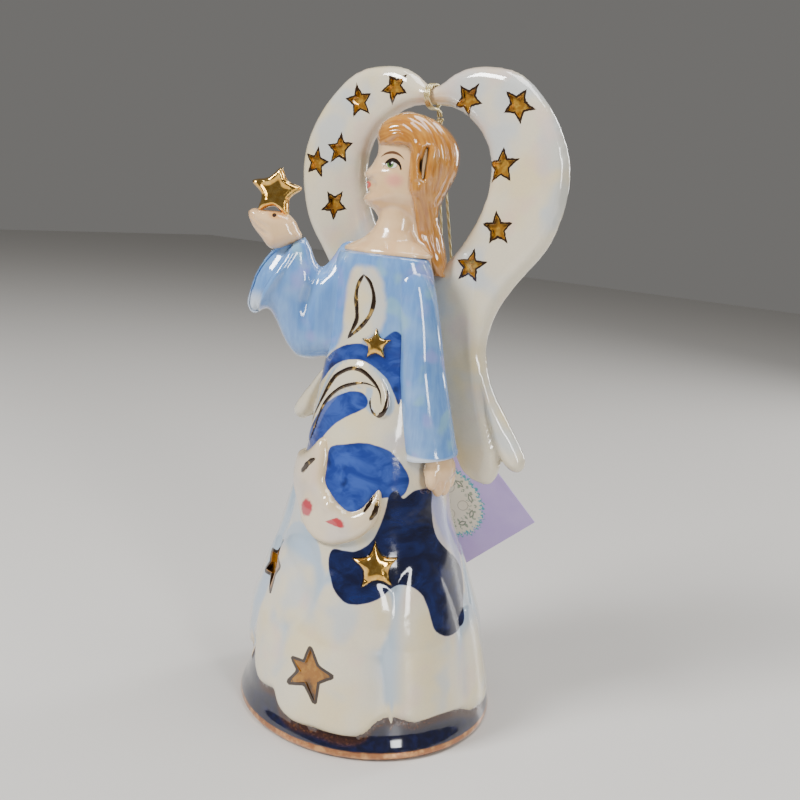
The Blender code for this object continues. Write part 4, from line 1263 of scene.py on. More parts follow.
def make_wing(name, node, side, stars):
    outline = smooth_path(WING_OUTLINE, 3, closed=True, corners=(0, 20, 39))
    outline[:, 0] *= side
    thick = sizes().wing_thickness / MM / 2.0

    def rule(flat, depth):
        return (thick - 0.6) * rounded(depth, 3.4) + 0.6 * rounded(depth, 9.0) + 0.02

    mesh = even_skin(pillow(outline, 1.15, rule), 0.55, 4)
    flat = points_of(mesh)
    across = np.stack([flat[:, 0] * side, flat[:, 1]], 1)
    sign = np.sign(flat[:, 2]) * ease(np.abs(flat[:, 2]) / 1.2)
    near, along = line_distance(across, smooth_path(FEATHER_GROOVE, 6))
    dent = 1.5 * np.exp(-(near / 1.0) ** 2) * ease((1.0 - along) * 1.6)
    near, along = line_distance(across, smooth_path(FEATHER_RIDGE, 6))
    dent -= 0.45 * np.exp(-(near / 1.6) ** 2) * ease(along * 6.0) * ease((1.0 - along) * 2.0)
    flat[:, 2] -= sign * dent
    points = np.stack([flat[:, 0], WING_Y - flat[:, 2], flat[:, 1]], 1)
    points[:, 1] += 0.10 * wobble(points, 9.0, side)
    move_to(mesh, points)
    mesh = right_way_out(mesh)
    body = opened(mesh)
    bmesh.ops.bisect_plane(body, geom=everything(body), plane_co=(side * CLEFT_GAP, 0.0, 0.0),
                           plane_no=(side, 0.0, 0.0), clear_inner=True, dist=0.001)
    close_holes(body)
    mesh = to_mesh(body, name)
    front = WING_Y - thick
    for centre, up, size, turn, lean in stars:
        star = star_points(size, STAR_WAIST * size, turn)
        block = prism(star, front - 3.0, front + sizes().star_depth / MM)
        flat = points_of(block)
        across = flat[:, 0] + lean * flat[:, 1] + centre
        move_to(block, np.stack([across, flat[:, 2], flat[:, 1] + up], 1))
        mesh = cut_out(mesh, right_way_out(block))
    add_piece(name, mesh, starred_paint(name + "_glaze", stars), nodes=[node], sharp=48.0)


# ---------------------------------------------------------------- head

# Side view of the whole head, across and up in the plane of the face, from under the fringe
HEAD_OUTLINE = [
    (-9.0, 149.4), (-9.0, 147.4), (-9.5, 145.6), (-10.7, 143.8), (-12.2, 142.2), (-11.7, 141.2),
    (-10.2, 140.9), (-11.7, 140.1), (-10.2, 139.55), (-11.5, 138.9), (-10.2, 138.1),
    (-11.2, 137.2), (-11.7, 136.1), (-10.8, 134.7), (-9.0, 133.6), (-7.4, 131.4), (-7.2, 129.3),
    (-7.8, 127.4), (-9.6, 125.6), (-12.5, 123.6), (-10.0, 121.0), (9.6, 117.9), (10.4, 119.4),
    (10.9, 121.7), (10.3, 125.0), (8.9, 129.4), (7.6, 132.5), (7.7, 135.3), (8.9, 138.6),
    (10.4, 141.9), (11.5, 145.6), (11.2, 150.0), (8.7, 153.8), (5.2, 156.2), (1.4, 157.5),
    (-2.3, 157.9), (-6.0, 156.7), (-8.9, 154.2), (-9.5, 151.6),
]
# What of the head the hair covers
HAIR_OUTLINE = [
    (-12.0, 149.0), (-12.0, 160.0), (14.0, 160.0), (14.0, 116.0), (8.0, 117.0), (6.4, 120.5),
    (4.6, 125.0), (2.2, 127.2), (1.8, 130.4), (1.2, 133.2), (0.2, 136.2), (-0.9, 139.2),
    (-1.3, 143.0), (-1.5, 146.8), (-2.2, 148.7), (-5.0, 148.9),
]
# Combed grooves, from the forehead back and down
HAIR_GROOVES = [
    [(-8.9, 151.4), (-5.2, 152.9), (-2.4, 151.6), (-0.8, 148.4), (0.3, 144.0), (1.4, 139.5)],
    [(-8.4, 154.2), (-4.4, 155.0), (-0.6, 152.8), (1.2, 148.6), (1.6, 144.4), (1.8, 140.4)],
    [(-3.0, 157.2), (1.5, 155.4), (4.4, 152.2), (6.0, 148.0), (6.7, 144.0), (6.0, 139.8),
     (4.6, 137.4)],
    [(1.0, 157.4), (5.0, 154.6), (8.0, 150.4), (9.1, 146.0), (8.6, 141.6), (7.0, 137.4),
     (6.0, 133.5)],
    [(-0.2, 138.2), (2.4, 137.2), (4.2, 133.4), (5.4, 129.4), (7.4, 124.4), (8.4, 120.4)],
    [(4.6, 137.6), (6.0, 133.0), (7.0, 128.6), (8.8, 123.4)],
    [(-6.2, 149.6), (-4.2, 151.4), (-1.8, 150.4)],
]
HAIR_SLIT = [(3.3, 150.0), (2.8, 147.0), (2.7, 144.2), (3.1, 141.4)]
# The line that the combed strands run beside
HAIR_FLOW = [
    (-9.0, 152.6), (-4.0, 154.4), (0.4, 152.4), (2.6, 148.0), (3.0, 143.0), (3.6, 138.0),
    (5.6, 130.0), (9.0, 118.0),
]
# Eye sockets, lids, wings of the nose, corners of the mouth, cheeks, chin and brows
FACE_BUMPS = [(-6.2, 145.0, 1.5, -0.45), (-5.4, 144.7, 1.0, 0.35), (-10.0, 141.9, 0.9, 0.45),
              (-9.3, 139.7, 0.8, -0.40), (-4.4, 141.0, 2.4, 0.25), (-9.2, 136.4, 1.4, 0.2),
              (-7.6, 147.4, 1.8, 0.2)]
# Radius and height of the neck and shoulders, from the top down
NECK_ROWS = [(0.0, 136.0), (5.0, 136.0), (4.9, 131.5), (5.4, 129.0), (7.2, 126.6),
             (10.2, 125.0), (12.2, 124.0), (12.4, 123.0), (0.0, 123.0)]


def make_head():
    outline = smooth_path(HEAD_OUTLINE, 3, closed=True, corners=(4, 7, 8))

    def face_rule(flat, depth):
        wide = 4.6 + 3.2 * ease((flat[:, 1] - 131.0) / 7.0)
        return wide * rounded(depth, 8.5) + 0.02

    plain = in_arm_plane(pillow(outline, 0.7, face_rule), HEAD_OFFSET)
    tip = Matrix.Rotation(ARM_TURN, 3, 'Z')
    cheeks = lump(-5.0 * ALONG + HEAD_OFFSET * FACING + (0.0, 0.0, 141.4), (5.4, 6.7, 8.2), tip)
    neck = spun(NECK_ROWS, 48)
    round_points = points_of(neck)
    rise = ease((round_points[:, 2] - 124.0) / 10.0)
    move_to(neck, np.stack([
        round_points[:, 0] - 1.3 + 0.9 * rise,
        round_points[:, 1] * (0.64 + 0.36 * rise) - 6.2 + 2.6 * rise, round_points[:, 2]], 1))
    mesh = even_skin(joined(plain, cheeks, neck), 0.36, 2)
    seen = arm_view(points_of(mesh))
    side = seen[:, 2] - HEAD_OFFSET
    shaping = bumps(seen, FACE_BUMPS) * ease((np.abs(side) - 0.8) / 1.5)
    move_to(mesh, points_of(mesh) + normals_of(mesh) * shaping[:, None])
    add_piece("face_and_shoulders", mesh, skin_paint(), nodes=["head"])
    make_hair(outline)


def make_hair(outline):
    shape = smooth_path(HAIR_OUTLINE, 3, closed=True, corners=(1, 2, 3, 4))

    def rule(flat, depth):
        body = np.maximum(signed_distance(flat, shape), 0.0)
        wide = 4.2 + 4.4 * ease((flat[:, 1] - 128.0) / 11.0)
        return (wide * rounded(depth, 8.5) + 0.75) * rounded(body, 1.1)

    mesh = in_arm_plane(pillow(outline, 0.7, rule), HEAD_OFFSET)
    body = opened(mesh)
    middles = arm_view(np.array([face.calc_center_median() for face in body.faces]))[:, :2]
    thin = [face for face, depth in zip(body.faces, signed_distance(middles, shape)) if depth < 0.0]
    bmesh.ops.delete(body, geom=thin, context='FACES')
    bmesh.ops.remove_doubles(body, verts=body.verts, dist=0.05)
    close_holes(body)
    mesh = even_skin(to_mesh(body, "hair"), 0.34, 3)
    seen = arm_view(points_of(mesh))[:, :2]
    groove = np.zeros(len(seen))
    for line in HAIR_GROOVES:
        near, along = line_distance(seen, smooth_path(line, 6))
        ends = ease(np.minimum(along, 1.0 - along) * 6.0)
        groove = np.maximum(groove, np.exp(-(near / 0.5) ** 2) * ends)
    flow = line_distance(seen, smooth_path(HAIR_FLOW, 8))[0]
    combed = 0.055 * np.sin(flow * 3.4 + 1.6 * np.sin(seen[:, 1] * 0.37))
    near, along = line_distance(seen, smooth_path(HAIR_SLIT, 6))
    spindle = np.sin(np.pi * np.clip(along, 0.0, 1.0))
    slit = np.exp(-(near / (0.15 + 0.75 * spindle)) ** 2) * ease(spindle * 3.0)
    ridge = np.exp(-((near - 1.7) / 0.8) ** 2) * ease(spindle * 3.0)
    move = combed - 0.3 * groove - 1.9 * slit + 0.35 * ridge
    move_to(mesh, points_of(mesh) + normals_of(mesh) * move[:, None])
    keep_field(mesh, "strand", flow)
    # Grooves, and the slit counted twice, for the colour; the slit's part carries painted shade
    keep_field(mesh, "groove", groove + 2.0 * slit)
    add_piece("combed_hair", right_way_out(mesh), hair_paint())


# ---------------------------------------------------------------- arms

# Raised sleeve and hand: across and up in the arm's plane
RAISED_SLEEVE = [
    (-25.6, 125.2), (-24.0, 122.6), (-22.6, 119.4), (-20.9, 117.8), (-18.6, 120.4),
    (-16.4, 124.2), (-13.6, 125.4), (-9.0, 124.4), (-6.0, 120.0), (-6.0, 98.0), (-12.0, 94.6),
    (-18.2, 94.6), (-22.0, 93.8), (-25.6, 94.2), (-28.2, 96.6), (-30.2, 99.8), (-32.4, 104.0),
    (-34.4, 106.0), (-37.4, 104.2), (-39.2, 105.4), (-39.6, 107.8), (-39.0, 110.6),
    (-37.8, 114.8), (-35.8, 118.6), (-33.3, 122.0),
]
SLEEVE_FOLD = [(-28.0, 122.6), (-30.0, 118.4), (-32.6, 114.0), (-34.6, 110.2), (-35.6, 106.6)]
ELBOW_FOLD = [(-20.9, 117.6), (-22.6, 113.0), (-23.4, 108.0), (-22.8, 102.0)]
RAISED_HAND = [
    (-33.6, 121.2), (-26.8, 124.4), (-27.6, 127.2), (-28.8, 129.2), (-30.6, 130.5),
    (-33.0, 131.0), (-35.6, 131.0), (-37.6, 131.0), (-39.2, 131.2), (-40.5, 130.4),
    (-40.6, 129.4), (-39.5, 126.9), (-37.0, 124.0),
]
FINGER_LINES = [[(-40.2, 129.9), (-37.0, 127.6), (-34.0, 126.2)],
                [(-39.6, 127.9), (-36.6, 125.6), (-34.4, 124.8)]]
HELD_STAR = [(1.0, 6.0), (6.6, 1.2), (3.4, -6.4), (-4.4, -5.4), (-6.4, 2.0)]
HELD_STAR_CENTRE = (-33.8, 135.9)
HELD_STAR_NOTCH = 3.9


def make_raised_arm():
    outline = smooth_path(RAISED_SLEEVE, 4, closed=True, corners=(0, 24))

    def rule(flat, depth):
        wide = 5.2 - 1.6 * ease((flat[:, 1] - 114.0) / 9.0)
        return wide * rounded(depth, 5.4) + 0.02

    mesh = even_skin(pillow(outline, 1.0, rule), 0.5, 5)
    flat = points_of(mesh)
    front = np.sign(flat[:, 2]) * ease(np.abs(flat[:, 2]) / 1.5)
    near, along = line_distance(flat[:, :2], smooth_path(SLEEVE_FOLD, 6))
    fade = ease(np.minimum(along * 5.0 + 0.35, (1.0 - along) * 5.0 + 0.5))
    line = smooth_path(SLEEVE_FOLD, 6)
    left = np.interp(flat[:, 1], line[::-1, 1], line[::-1, 0]) - flat[:, 0]
    move = 0.7 * np.exp(-((near - 0.2) / 0.9) ** 2) * fade
    move -= 2.0 * ease((left - 0.3) / 1.0) * (near < 6.0)
    near, along = line_distance(flat[:, :2], smooth_path(ELBOW_FOLD, 6))
    move -= 1.3 * np.exp(-(near / 1.6) ** 2) * ease((1.0 - along) * 2.5)
    flat[:, 2] += front * move
    hem = ease((left + 0.2) / 0.8) * ease((112.5 - flat[:, 1]) / 5.0) * 0.8
    keep_field(mesh, "hem", hem * (flat[:, 0] < -30.0))
    move_to(mesh, flat)
    add_piece("raised_robe_sleeve", in_arm_plane(mesh, ARM_OFFSET), robe_paint(),
              nodes=["raised_sleeve"])

    outline = smooth_path(RAISED_HAND, 4, closed=True)

    def hand_rule(flat, depth):
        return 3.5 * rounded(depth, 3.4) + 0.02

    mesh = even_skin(pillow(outline, 0.6, hand_rule), 0.3, 4)
    flat = points_of(mesh)
    for line in FINGER_LINES:
        near, along = line_distance(flat[:, :2], smooth_path(line, 5))
        crease = 0.45 * np.sign(flat[:, 2]) * np.exp(-(near / 0.5) ** 2)
        flat[:, 2] -= crease * ease((1.0 - along) * 2.0)
    move_to(mesh, flat)
    add_piece("cupped_hand", in_arm_plane(mesh, ARM_OFFSET), skin_paint(),
              nodes=["raised_hand"])

    outline = smooth_path(hand_cut_star(HELD_STAR, HELD_STAR_NOTCH), 4, closed=True)

    def star_rule(flat, depth):
        return 2.2 * rounded(depth, 1.2) - 0.55 * ease((depth - 0.9) / 0.9) + 0.02

    mesh = even_skin(pillow(outline, 0.5, star_rule), 0.26, 3)
    flat = points_of(mesh)
    flat[:, :2] += HELD_STAR_CENTRE
    move_to(mesh, flat)
    add_piece("gold_held_star", in_arm_plane(mesh, ARM_OFFSET), gold_paint(),
              nodes=["held_star"])


# The hanging sleeve's centre line: height, radius, lift off the body and bearing
HANGING_SLEEVE = [
    (120.5, 3.0, -5.2, 72.8), (117.0, 4.8, -4.0, 73.4), (112.0, 5.3, -2.5, 74.2),
    (104.0, 5.6, -1.0, 76.0), (94.0, 6.0, 0.0, 78.0), (84.0, 6.5, 0.5, 80.0),
    (77.0, 6.9, 0.6, 81.5), (75.2, 7.2, 0.6, 81.9), (74.4, 7.1, 0.6, 82.0),
]
HANGING_BEARING = 82.0
# Fingers of the resting hand: across, down, radius and how proud they stand
FINGERS = [(-3.6, 0.6, 1.55, 0.6), (-1.2, -1.4, 1.65, 1.0), (1.3, -1.6, 1.65, 0.9),
           (3.6, -0.4, 1.5, 0.4)]


def make_hanging_arm():
    rows = smooth_path(HANGING_SLEEVE, 12)
    path = on_skirt(rows[:, 3], rows[:, 0], rows[:, 2])
    turn = math.radians(HANGING_BEARING)
    out = np.array([math.sin(turn), -math.cos(turn), 0.0])
    side = np.cross(out, (0.0, 0.0, 1.0))
    mesh = bent_rod(path, rows[:, 1] * 1.02, rows[:, 1] * 0.92, side, 72)
    body = opened(mesh)
    mouth = min(body.faces, key=lambda face: face.calc_center_median().z)
    bmesh.ops.inset_individual(body, faces=[mouth], thickness=0.9, depth=0.0)
    sunk = bmesh.ops.extrude_discrete_faces(body, faces=[mouth])["faces"][0]
    bmesh.ops.translate(body, vec=(0.0, 0.0, 2.5), verts=sunk.verts)
    mesh = to_mesh(body, "sleeve")
    points = points_of(mesh)
    around = np.arctan2((points - path[0]) @ side, (points - path[0]) @ out)
    depth = ease((118.0 - points[:, 2]) / 20.0)
    fold = 0.38 * np.sin(around * 3.0 + 0.6) + 0.22 * np.sin(around * 5.0 + points[:, 2] * 0.05)
    points += normals_of(mesh) * (fold * depth * ease((points[:, 2] - 74.6) / 2.0))[:, None]
    move_to(mesh, points)
    keep_field(mesh, "hem", ease((75.8 - points[:, 2]) / 1.0))
    add_piece("hanging_robe_sleeve", right_way_out(mesh), robe_paint(),
              nodes=["hanging_sleeve"])

    centre = on_skirt(np.array(HANGING_BEARING), np.array(69.5), 2.6)
    turned = Matrix.Rotation(turn, 3, 'Z')
    parts = [lump(centre + (0.0, 0.0, 2.2), (5.0, 3.4, 4.2), turned)]
    for across, drop, radius, proud in FINGERS:
        place = centre - side * across + out * proud + (0.0, 0.0, drop)
        parts.append(lump(place, (radius, 1.9, 3.3), turned))
    mesh = even_skin(joined(*parts), 0.3, 3)
    add_piece("resting_hand", mesh, skin_paint(), nodes=["hanging_hand"])


# ---------------------------------------------------------------- clapper

WIRE = 0.6
CLAPPER = np.array([-0.8, -2.5, 0.0])
STAPLE_BAR, LINK_BAR = 96.0, 90.0
BALL_RADIUS, BALL_HEIGHT = 7.5, 23.0
EYE_RADIUS = 2.2
PLAY = 0.3


def wire_oval(half, low, high, across):
    """An upright closed wire: two half circles joined by straight sides."""
    points = []
    for middle, start in ((high - half, 0.0), (low + half, math.pi)):
        for angle in start + np.linspace(0.0, math.pi, 15):
            up = middle + half * math.sin(angle)
            points.append(CLAPPER + across * half * math.cos(angle) + (0.0, 0.0, up))
    points.append(points[0])
    path = even_path(np.array(points), 0.4)
    return bent_rod(path, WIRE, WIRE, np.cross(across, (0.0, 0.0, 1.0)), 12, closed=True)


def make_clapper():
    hook = 2.0 * WIRE + PLAY
    brass = brass_paint()
    x, y = np.array([1.0, 0.0, 0.0]), np.array([0.0, 1.0, 0.0])
    half = 2.6
    leg = [(-half, 102.6), (-half, 99.6), (-half, 97.6), (-2.2, 96.4), (-1.4, STAPLE_BAR)]
    bend = leg + [(0.0, STAPLE_BAR)] + [(-across, up) for across, up in leg[::-1]]
    path = even_path(smooth_path(bend, 8), 0.4)
    path = CLAPPER + path[:, :1] * x + path[:, 1:] * (0.0, 0.0, 1.0)
    add_piece("staple_wire", bent_rod(path, WIRE, WIRE, y), brass,
              nodes=["clapper_staple"])
    add_piece("link_wire", wire_oval(2.0, LINK_BAR, STAPLE_BAR + hook, y), brass, "link",
              ["clapper_link"])
    eye_low = LINK_BAR + hook - 2.0 * EYE_RADIUS
    button = BALL_HEIGHT - BALL_RADIUS - 0.3
    rod = spun([(0.0, eye_low + 0.2), (0.45, eye_low + 0.2), (WIRE, eye_low - 0.3), (WIRE, 60.0),
                (WIRE, button + 0.1), (1.4, button), (1.7, button - 0.3), (1.7, button - 0.9),
                (1.3, button - 1.2), (0.0, button - 1.2)], 24)
    move_to(rod, points_of(rod) + CLAPPER)
    eye = wire_oval(EYE_RADIUS, eye_low, LINK_BAR + hook, x)
    add_piece("rod_wire", joined(rod, eye), brass, "clapper", ["clapper_rod"])
    bore = WIRE + PLAY
    ball = [(bore, BALL_HEIGHT + 7.35), (bore + 0.25, BALL_HEIGHT + 7.45)]
    ball += [(BALL_RADIUS * math.cos(a), BALL_HEIGHT + BALL_RADIUS * math.sin(a))
             for a in np.radians(np.linspace(80.0, -80.0, 33))]
    ball += [(bore + 0.25, BALL_HEIGHT - 7.45), (bore, BALL_HEIGHT - 7.35), (bore, BALL_HEIGHT),
             (bore, BALL_HEIGHT + 7.35)]
    mesh = spun(ball, 64)
    points = points_of(mesh)
    out = np.hypot(points[:, 0], points[:, 1]) > 2.0
    swell = 1.0 + 0.004 * wobble(points, 5.0)[out]
    points[out, :2] *= swell[:, None]
    move_to(mesh, points + CLAPPER)
    add_piece("clapper_bead", right_way_out(mesh), clapper_paint(), "clapper",
              nodes=["clapper_ball"], sharp=60.0)


# ---------------------------------------------------------------- cord and card

CORD = 0.35
KNOT = np.array([0.4, 10.6, 157.2])
KNOT_RADIUS = 1.1
CORD_BEND = 1.55
CARD_WIDE, CARD_LONG, CARD_THICK = 34.0, 38.0, 0.5
CARD_HOLE = np.array([7.0, 25.0, 72.5])
HOLE_RADIUS, HOLE_INSET = 1.6, 3.4
# Side of the square that the card's painting is measured in
CARD_SPAN = 40.0
CARD_TURN, CARD_LEAN = math.radians(22.0), math.radians(6.0)


def card_axes():
    across = np.array([math.cos(CARD_TURN), math.sin(CARD_TURN), 0.0])
    level = np.cross(across, (0.0, 0.0, 1.0))
    up = np.array([0.0, 0.0, math.cos(CARD_LEAN)]) + level * math.sin(CARD_LEAN)
    return across, up, np.cross(across, up)


def loop_route():
    """Down in front of the card, through its hole and up behind it to the knot."""
    across, up, face = card_axes()
    start = KNOT - up * (KNOT_RADIUS + 0.3 + CORD)
    middle = CARD_HOLE + up * (HOLE_RADIUS - 0.3 - CORD + CORD_BEND)
    along = (middle - start) / np.linalg.norm(middle - start)

    def strand(side):
        reach = face * CORD_BEND * side
        rows = [start - across * 0.55 * side]
        for share, spread, lift in ((0.25, 0.9, 0.2), (0.50, 1.1, 0.5), (0.75, 0.6, 0.8)):
            rows.append(start + (middle - start) * share - across * spread * side + reach * lift)
        return rows + [middle - along * 6.0 + reach, middle - along * 1.5 + reach]

    bend = [middle + (face * math.cos(turn) - up * math.sin(turn)) * CORD_BEND
            for turn in np.radians([20.0, 55.0, 90.0, 125.0, 160.0])]
    return even_path(smooth_path(strand(1.0) + bend + strand(-1.0)[::-1], 24), 0.42)


def wrap_route():
    """Nearly three turns round the cleft of the wings, both ends down to the knot behind."""
    angle = np.radians(np.linspace(-15.0, 3.0 * 360.0 - 95.0, 69))
    x = np.linspace(-0.78, 0.78, len(angle))
    ring = np.stack([x, WING_Y + 3.6 * np.cos(angle), 162.8 + 2.95 * np.sin(angle)], 1)
    start = [KNOT + (-0.5, -0.2, 1.0), KNOT + (-0.9, -0.05, 2.7)]
    end = [KNOT + (0.4, -1.9, 2.5), KNOT + (0.35, -0.7, 2.0), KNOT + (0.3, -0.15, 1.1)]
    return even_path(smooth_path(np.concatenate([start, ring, end]), 8), 0.42)


# Directions that neither cord ever runs along, from which its twist is counted
WRAP_HINT = np.array([0.31, 0.22, 0.93])
LOOP_HINT = np.array([0.9, 0.35, 0.1])


def twisted_cord(path, hint):
    """A two-ply metallic cord along a path."""
    mesh = bent_rod(path, CORD, CORD, hint, 14)
    ring = np.empty(len(mesh.vertices))
    mesh.attributes["ring"].data.foreach_get("value", ring)
    index = np.rint(ring).astype(int)
    out = points_of(mesh) - path[index]
    ahead = np.gradient(path, axis=0)[index]
    ahead /= np.linalg.norm(ahead, axis=1)[:, None]
    side = hint - (ahead @ hint)[:, None] * ahead
    side /= np.linalg.norm(side, axis=1)[:, None]
    angle = np.arctan2((out * np.cross(ahead, side)).sum(1), (out * side).sum(1))
    lay = 2.0 * angle + ring * 0.9
    move_to(mesh, path[index] + out * (0.93 + 0.07 * np.cos(lay))[:, None])
    keep_field(mesh, "lay", lay)
    return mesh


def make_cords():
    paint = cord_paint()
    wrap = wrap_route()
    piece = add_piece("wing_wrap", twisted_cord(wrap, WRAP_HINT), paint, "root",
                      ["cord_wrap"])
    turn = np.linspace(0.0, 2.0 * math.pi, 61)
    trefoil = np.stack([np.sin(turn) + 2.0 * np.sin(2.0 * turn), -np.sin(3.0 * turn) * 0.9,
                        np.cos(turn) - 2.0 * np.cos(2.0 * turn)], 1) * 0.27
    knot = bent_rod(KNOT + trefoil, CORD * 0.85, CORD * 0.85, (0.1, 1.0, 0.2), 10, closed=True)
    keep_field(knot, "lay", points_of(knot)[:, 0] * 9.0)
    add_piece("tied_knot", knot, paint, "knot", ["cord_knot"])
    loop = loop_route()
    piece = add_piece("hanging_loop", twisted_cord(loop, LOOP_HINT), paint, "cord",
                      ["cord_loop"])
    tuple(loop[0] * MM)
    (loop * MM).tolist()


def make_card():
    outline = np.array([(-CARD_WIDE, -CARD_LONG), (CARD_WIDE, -CARD_LONG), (CARD_WIDE, CARD_LONG),
                        (-CARD_WIDE, CARD_LONG)]) / 2.0
    card = prism(outline, -CARD_THICK / 2.0, CARD_THICK / 2.0)
    hole_place = np.array([CARD_WIDE / 2.0 - HOLE_INSET, CARD_LONG / 2.0 - HOLE_INSET, 0.0])
    body = bmesh.new()
    bmesh.ops.create_cone(body, cap_ends=True, segments=40, radius1=HOLE_RADIUS,
                          radius2=HOLE_RADIUS, depth=4.0)
    bmesh.ops.translate(body, vec=hole_place, verts=body.verts)
    mesh = cut_out(card, to_mesh(body, "punch"))
    body = opened(mesh)
    edges = [edge for edge in body.edges if edge.calc_face_angle(0.0) > 1.2]
    bmesh.ops.bevel(body, geom=edges, offset=0.09, offset_type='OFFSET', segments=2, profile=0.5,
                    affect='EDGES', material=-1)
    mesh = to_mesh(body, "card")
    flat = points_of(mesh)
    layer = mesh.uv_layers.new(name="card")
    corners = np.empty(len(mesh.loops), int)
    mesh.loops.foreach_get("vertex_index", corners)
    layer.uv.foreach_set("vector", (flat[corners, :2] / CARD_SPAN + 0.5).ravel())
    keep_field(mesh, "front", flat[:, 2] > 0.0)
    tilt = math.atan2(CARD_WIDE - HOLE_INSET, CARD_LONG - HOLE_INSET)
    c, s = math.cos(tilt), math.sin(tilt)
    turn = np.array([[c, s, 0.0], [-s, c, 0.0], [0.0, 0.0, 1.0]])
    move_to(mesh, CARD_HOLE + (flat - hole_place) @ turn @ np.array(card_axes()))
    add_piece("lavender_card", mesh, card_paint(), "tag", ["hang_tag"], sharp=35.0)


# ---------------------------------------------------------------- camera, light and floor

# Lamps: name, place, width and height in metres, and power in watts
SOFTBOXES = [
    ("key_softbox", (-0.30, -0.50, 0.62), 0.20, 0.28, 8.4),
    ("fill_softbox", (0.62, -0.32, 0.34), 0.12, 0.45, 3.0),
    ("top_softbox", (0.10, 0.10, 0.80), 0.40, 0.40, 3.6),
    ("back_strip", (0.25, 0.60, 0.35), 0.12, 0.5, 2.6),
]
# Where the viewpoint stands, in metres, and its tilts in radians
VIEWPOINT = (0.12791, -0.20470, 0.13686)
PITCH, YAW, ROLL = 0.21252, 0.00942, 0.09354
# Focal length in millimetres, and what the lamps point at
LENS = 41.85
LIT_PLACE = Vector((0.0, 0.0, 0.085))


def make_stage():
    body = bmesh.new()
    bmesh.ops.create_grid(body, x_segments=2, y_segments=2, size=1.6)
    floor = placed("floor", to_mesh(body, "floor"))
    paint = Paint("studio_floor")
    paint.finish(Base_Color=(0.62, 0.60, 0.57), Roughness=0.42)
    floor.data.materials.append(paint.material)
    world = bpy.data.worlds.new("studio")
    world.use_nodes = True
    background = world.node_tree.nodes["Background"]
    background.inputs["Color"].default_value = (0.62, 0.605, 0.58, 1.0)
    background.inputs["Strength"].default_value = 0.27
    bpy.context.scene.world = world
    for name, place, wide, tall, power in SOFTBOXES:
        light = bpy.data.lights.new(name, 'AREA')
        light.shape = 'RECTANGLE'
        light.size = wide
        light.size_y = tall
        light.energy = power
        lamp = placed(name, light)
        lamp.location = place
        lamp.rotation_euler = (LIT_PLACE - Vector(place)).to_track_quat('-Z', 'Y').to_euler()


def make_camera():
    """The view from a little above and to the angel's left, rolled as it was held."""
    forward = Vector((math.sin(YAW) * math.cos(PITCH), math.cos(YAW) * math.cos(PITCH),
                      -math.sin(PITCH)))
    level = forward.cross(Vector((0.0, 0.0, 1.0))).normalized()
    rise = level.cross(forward)
    right = level * math.cos(ROLL) + rise * math.sin(ROLL)
    up = rise * math.cos(ROLL) - level * math.sin(ROLL)
    basis = Matrix.Rotation(ARM_TURN, 3, 'Z') @ Matrix((right, up, -forward)).transposed()
    lens = bpy.data.cameras.new("viewpoint")
    lens.lens = LENS
    lens.sensor_width = 36.0
    lens.clip_start = 0.01
    camera = placed("viewpoint", lens)
    camera.matrix_world = Matrix.Translation(VIEWPOINT) @ basis.to_4x4()
    bpy.context.scene.camera = camera


# ---------------------------------------------------------------- add-on

class AngelBellSizes(bpy.types.PropertyGroup):
    moon_height: bpy.props.FloatProperty(
        name="Moon height", description="How far the moon stands off the skirt", default=1.9 * MM,
        unit='LENGTH')
    wing_thickness: bpy.props.FloatProperty(
        name="Wing thickness", description="Thickness of a wing at its middle", default=6.4 * MM,
        unit='LENGTH')
    star_depth: bpy.props.FloatProperty(
        name="Star depth", description="How deep the stars are pressed into the wings",
        default=0.9 * MM, unit='LENGTH')


def colour_property(name, description, default):
    return bpy.props.FloatVectorProperty(name=name, description=description, default=default,
                                         subtype='COLOR', size=3, min=0.0, max=1.0)


class AngelBellColours(bpy.types.PropertyGroup):
    pearl: colour_property("Pearl", "Cream of the porcelain under its lustre", (0.73, 0.655, 0.49))
    robe: colour_property("Robe", "Light blue of the robe and sleeves", (0.105, 0.25, 0.57))
    skin: colour_property("Skin", "Flesh glaze of face, shoulders and hands", (0.81, 0.54, 0.29))
    hair: colour_property("Hair", "Ginger blond of the hair", (0.53, 0.225, 0.033))
    gold: colour_property("Gold", "Bright gold lustre", (0.78, 0.42, 0.07))
    card: colour_property("Card", "Lavender of the hanging card", (0.46, 0.34, 0.68))


def step(idname, label, text, *jobs):
    """One operator that makes a group of pieces."""
    def execute(self, context):
        for job in jobs:
            job()
        return {'FINISHED'}
    return type("ANGEL_OT_" + idname, (bpy.types.Operator,),
                {"__doc__": text, "bl_idname": "angel_bell." + idname, "bl_label": label,
                 "execute": execute})


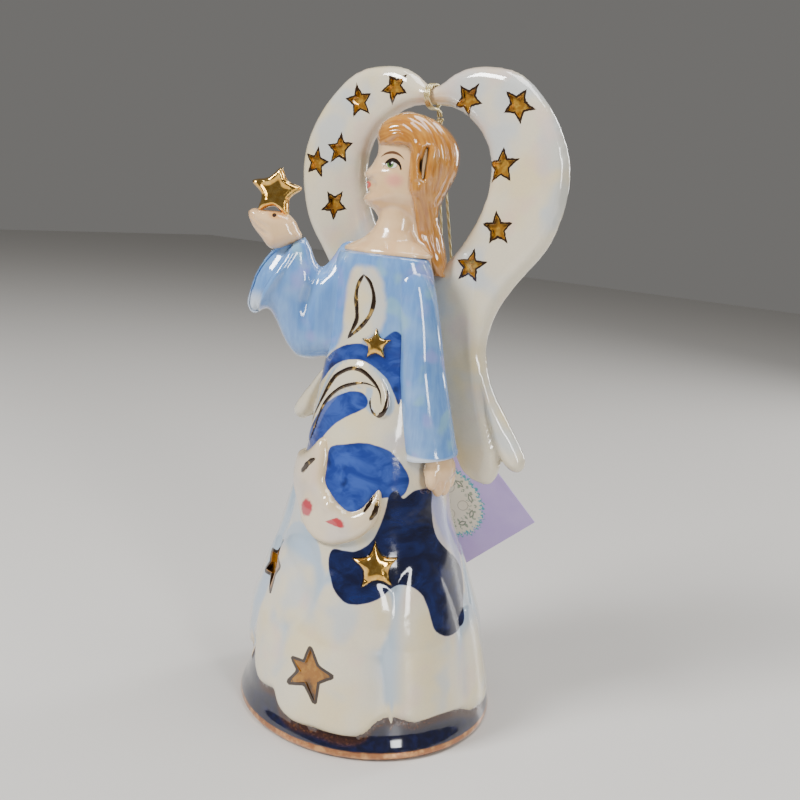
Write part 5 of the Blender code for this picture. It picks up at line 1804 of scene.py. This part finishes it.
STEPS = [
    step("camera", "Camera", "Set the viewpoint", make_camera),
    step("cords", "Cord", "Make the wrap, the knot and the hanging loop", make_cords),
    step("card", "Card", "Make the lavender card", make_card),
    step("body", "Bell", "Make the painted skirt and torso", make_body),
    step("gilding", "Gilding", "Draw the brown-gold lines", make_lines),
    step("moon", "Moon", "Make the moon on the skirt", make_moon),
    step("sprigs", "Raised stars", "Make the two raised gold stars", make_sprig_stars),
    step("left_wing", "Left wing", "Make the angel's left wing",
         lambda: make_wing("starred_left_wing", "left_wing", 1.0, LEFT_STARS)),
    step("right_wing", "Right wing", "Make the angel's right wing",
         lambda: make_wing("starred_right_wing", "right_wing", -1.0, RIGHT_STARS)),
    step("head", "Head", "Make the face, shoulders and hair", make_head),
    step("raised_arm", "Raised arm", "Make the raised sleeve, hand and star", make_raised_arm),
    step("hanging_arm", "Hanging arm", "Make the hanging sleeve and hand", make_hanging_arm),
    step("clapper", "Clapper", "Make the staple, link, rod and bead", make_clapper),
    step("stage", "Stage", "Make the floor and the lights", make_stage),
]


class ANGEL_PT_panel(bpy.types.Panel):
    bl_label = "Angel Bell"
    bl_space_type = 'VIEW_3D'
    bl_region_type = 'UI'
    bl_category = "Angel Bell"

    def draw(self, context):
        for group in (sizes(), colours()):
            for key in group.bl_rna.properties.keys():
                if key not in ("rna_type", "name"):
                    self.layout.prop(group, key)
        for operator in STEPS:
            self.layout.operator(operator.bl_idname)


CLASSES = [AngelBellSizes, AngelBellColours, *STEPS, ANGEL_PT_panel]


def register():
    for cls in CLASSES:
        bpy.utils.register_class(cls)
    bpy.types.Scene.angel_bell_sizes = bpy.props.PointerProperty(type=AngelBellSizes)
    bpy.types.Scene.angel_bell_colours = bpy.props.PointerProperty(type=AngelBellColours)


def unregister():
    del bpy.types.Scene.angel_bell_colours
    del bpy.types.Scene.angel_bell_sizes
    for cls in reversed(CLASSES):
        bpy.utils.unregister_class(cls)


def main():
    register()
    for operator in STEPS:
        group, name = operator.bl_idname.split(".")
        getattr(getattr(bpy.ops, group), name)()


if __name__ == "__main__":
    main()
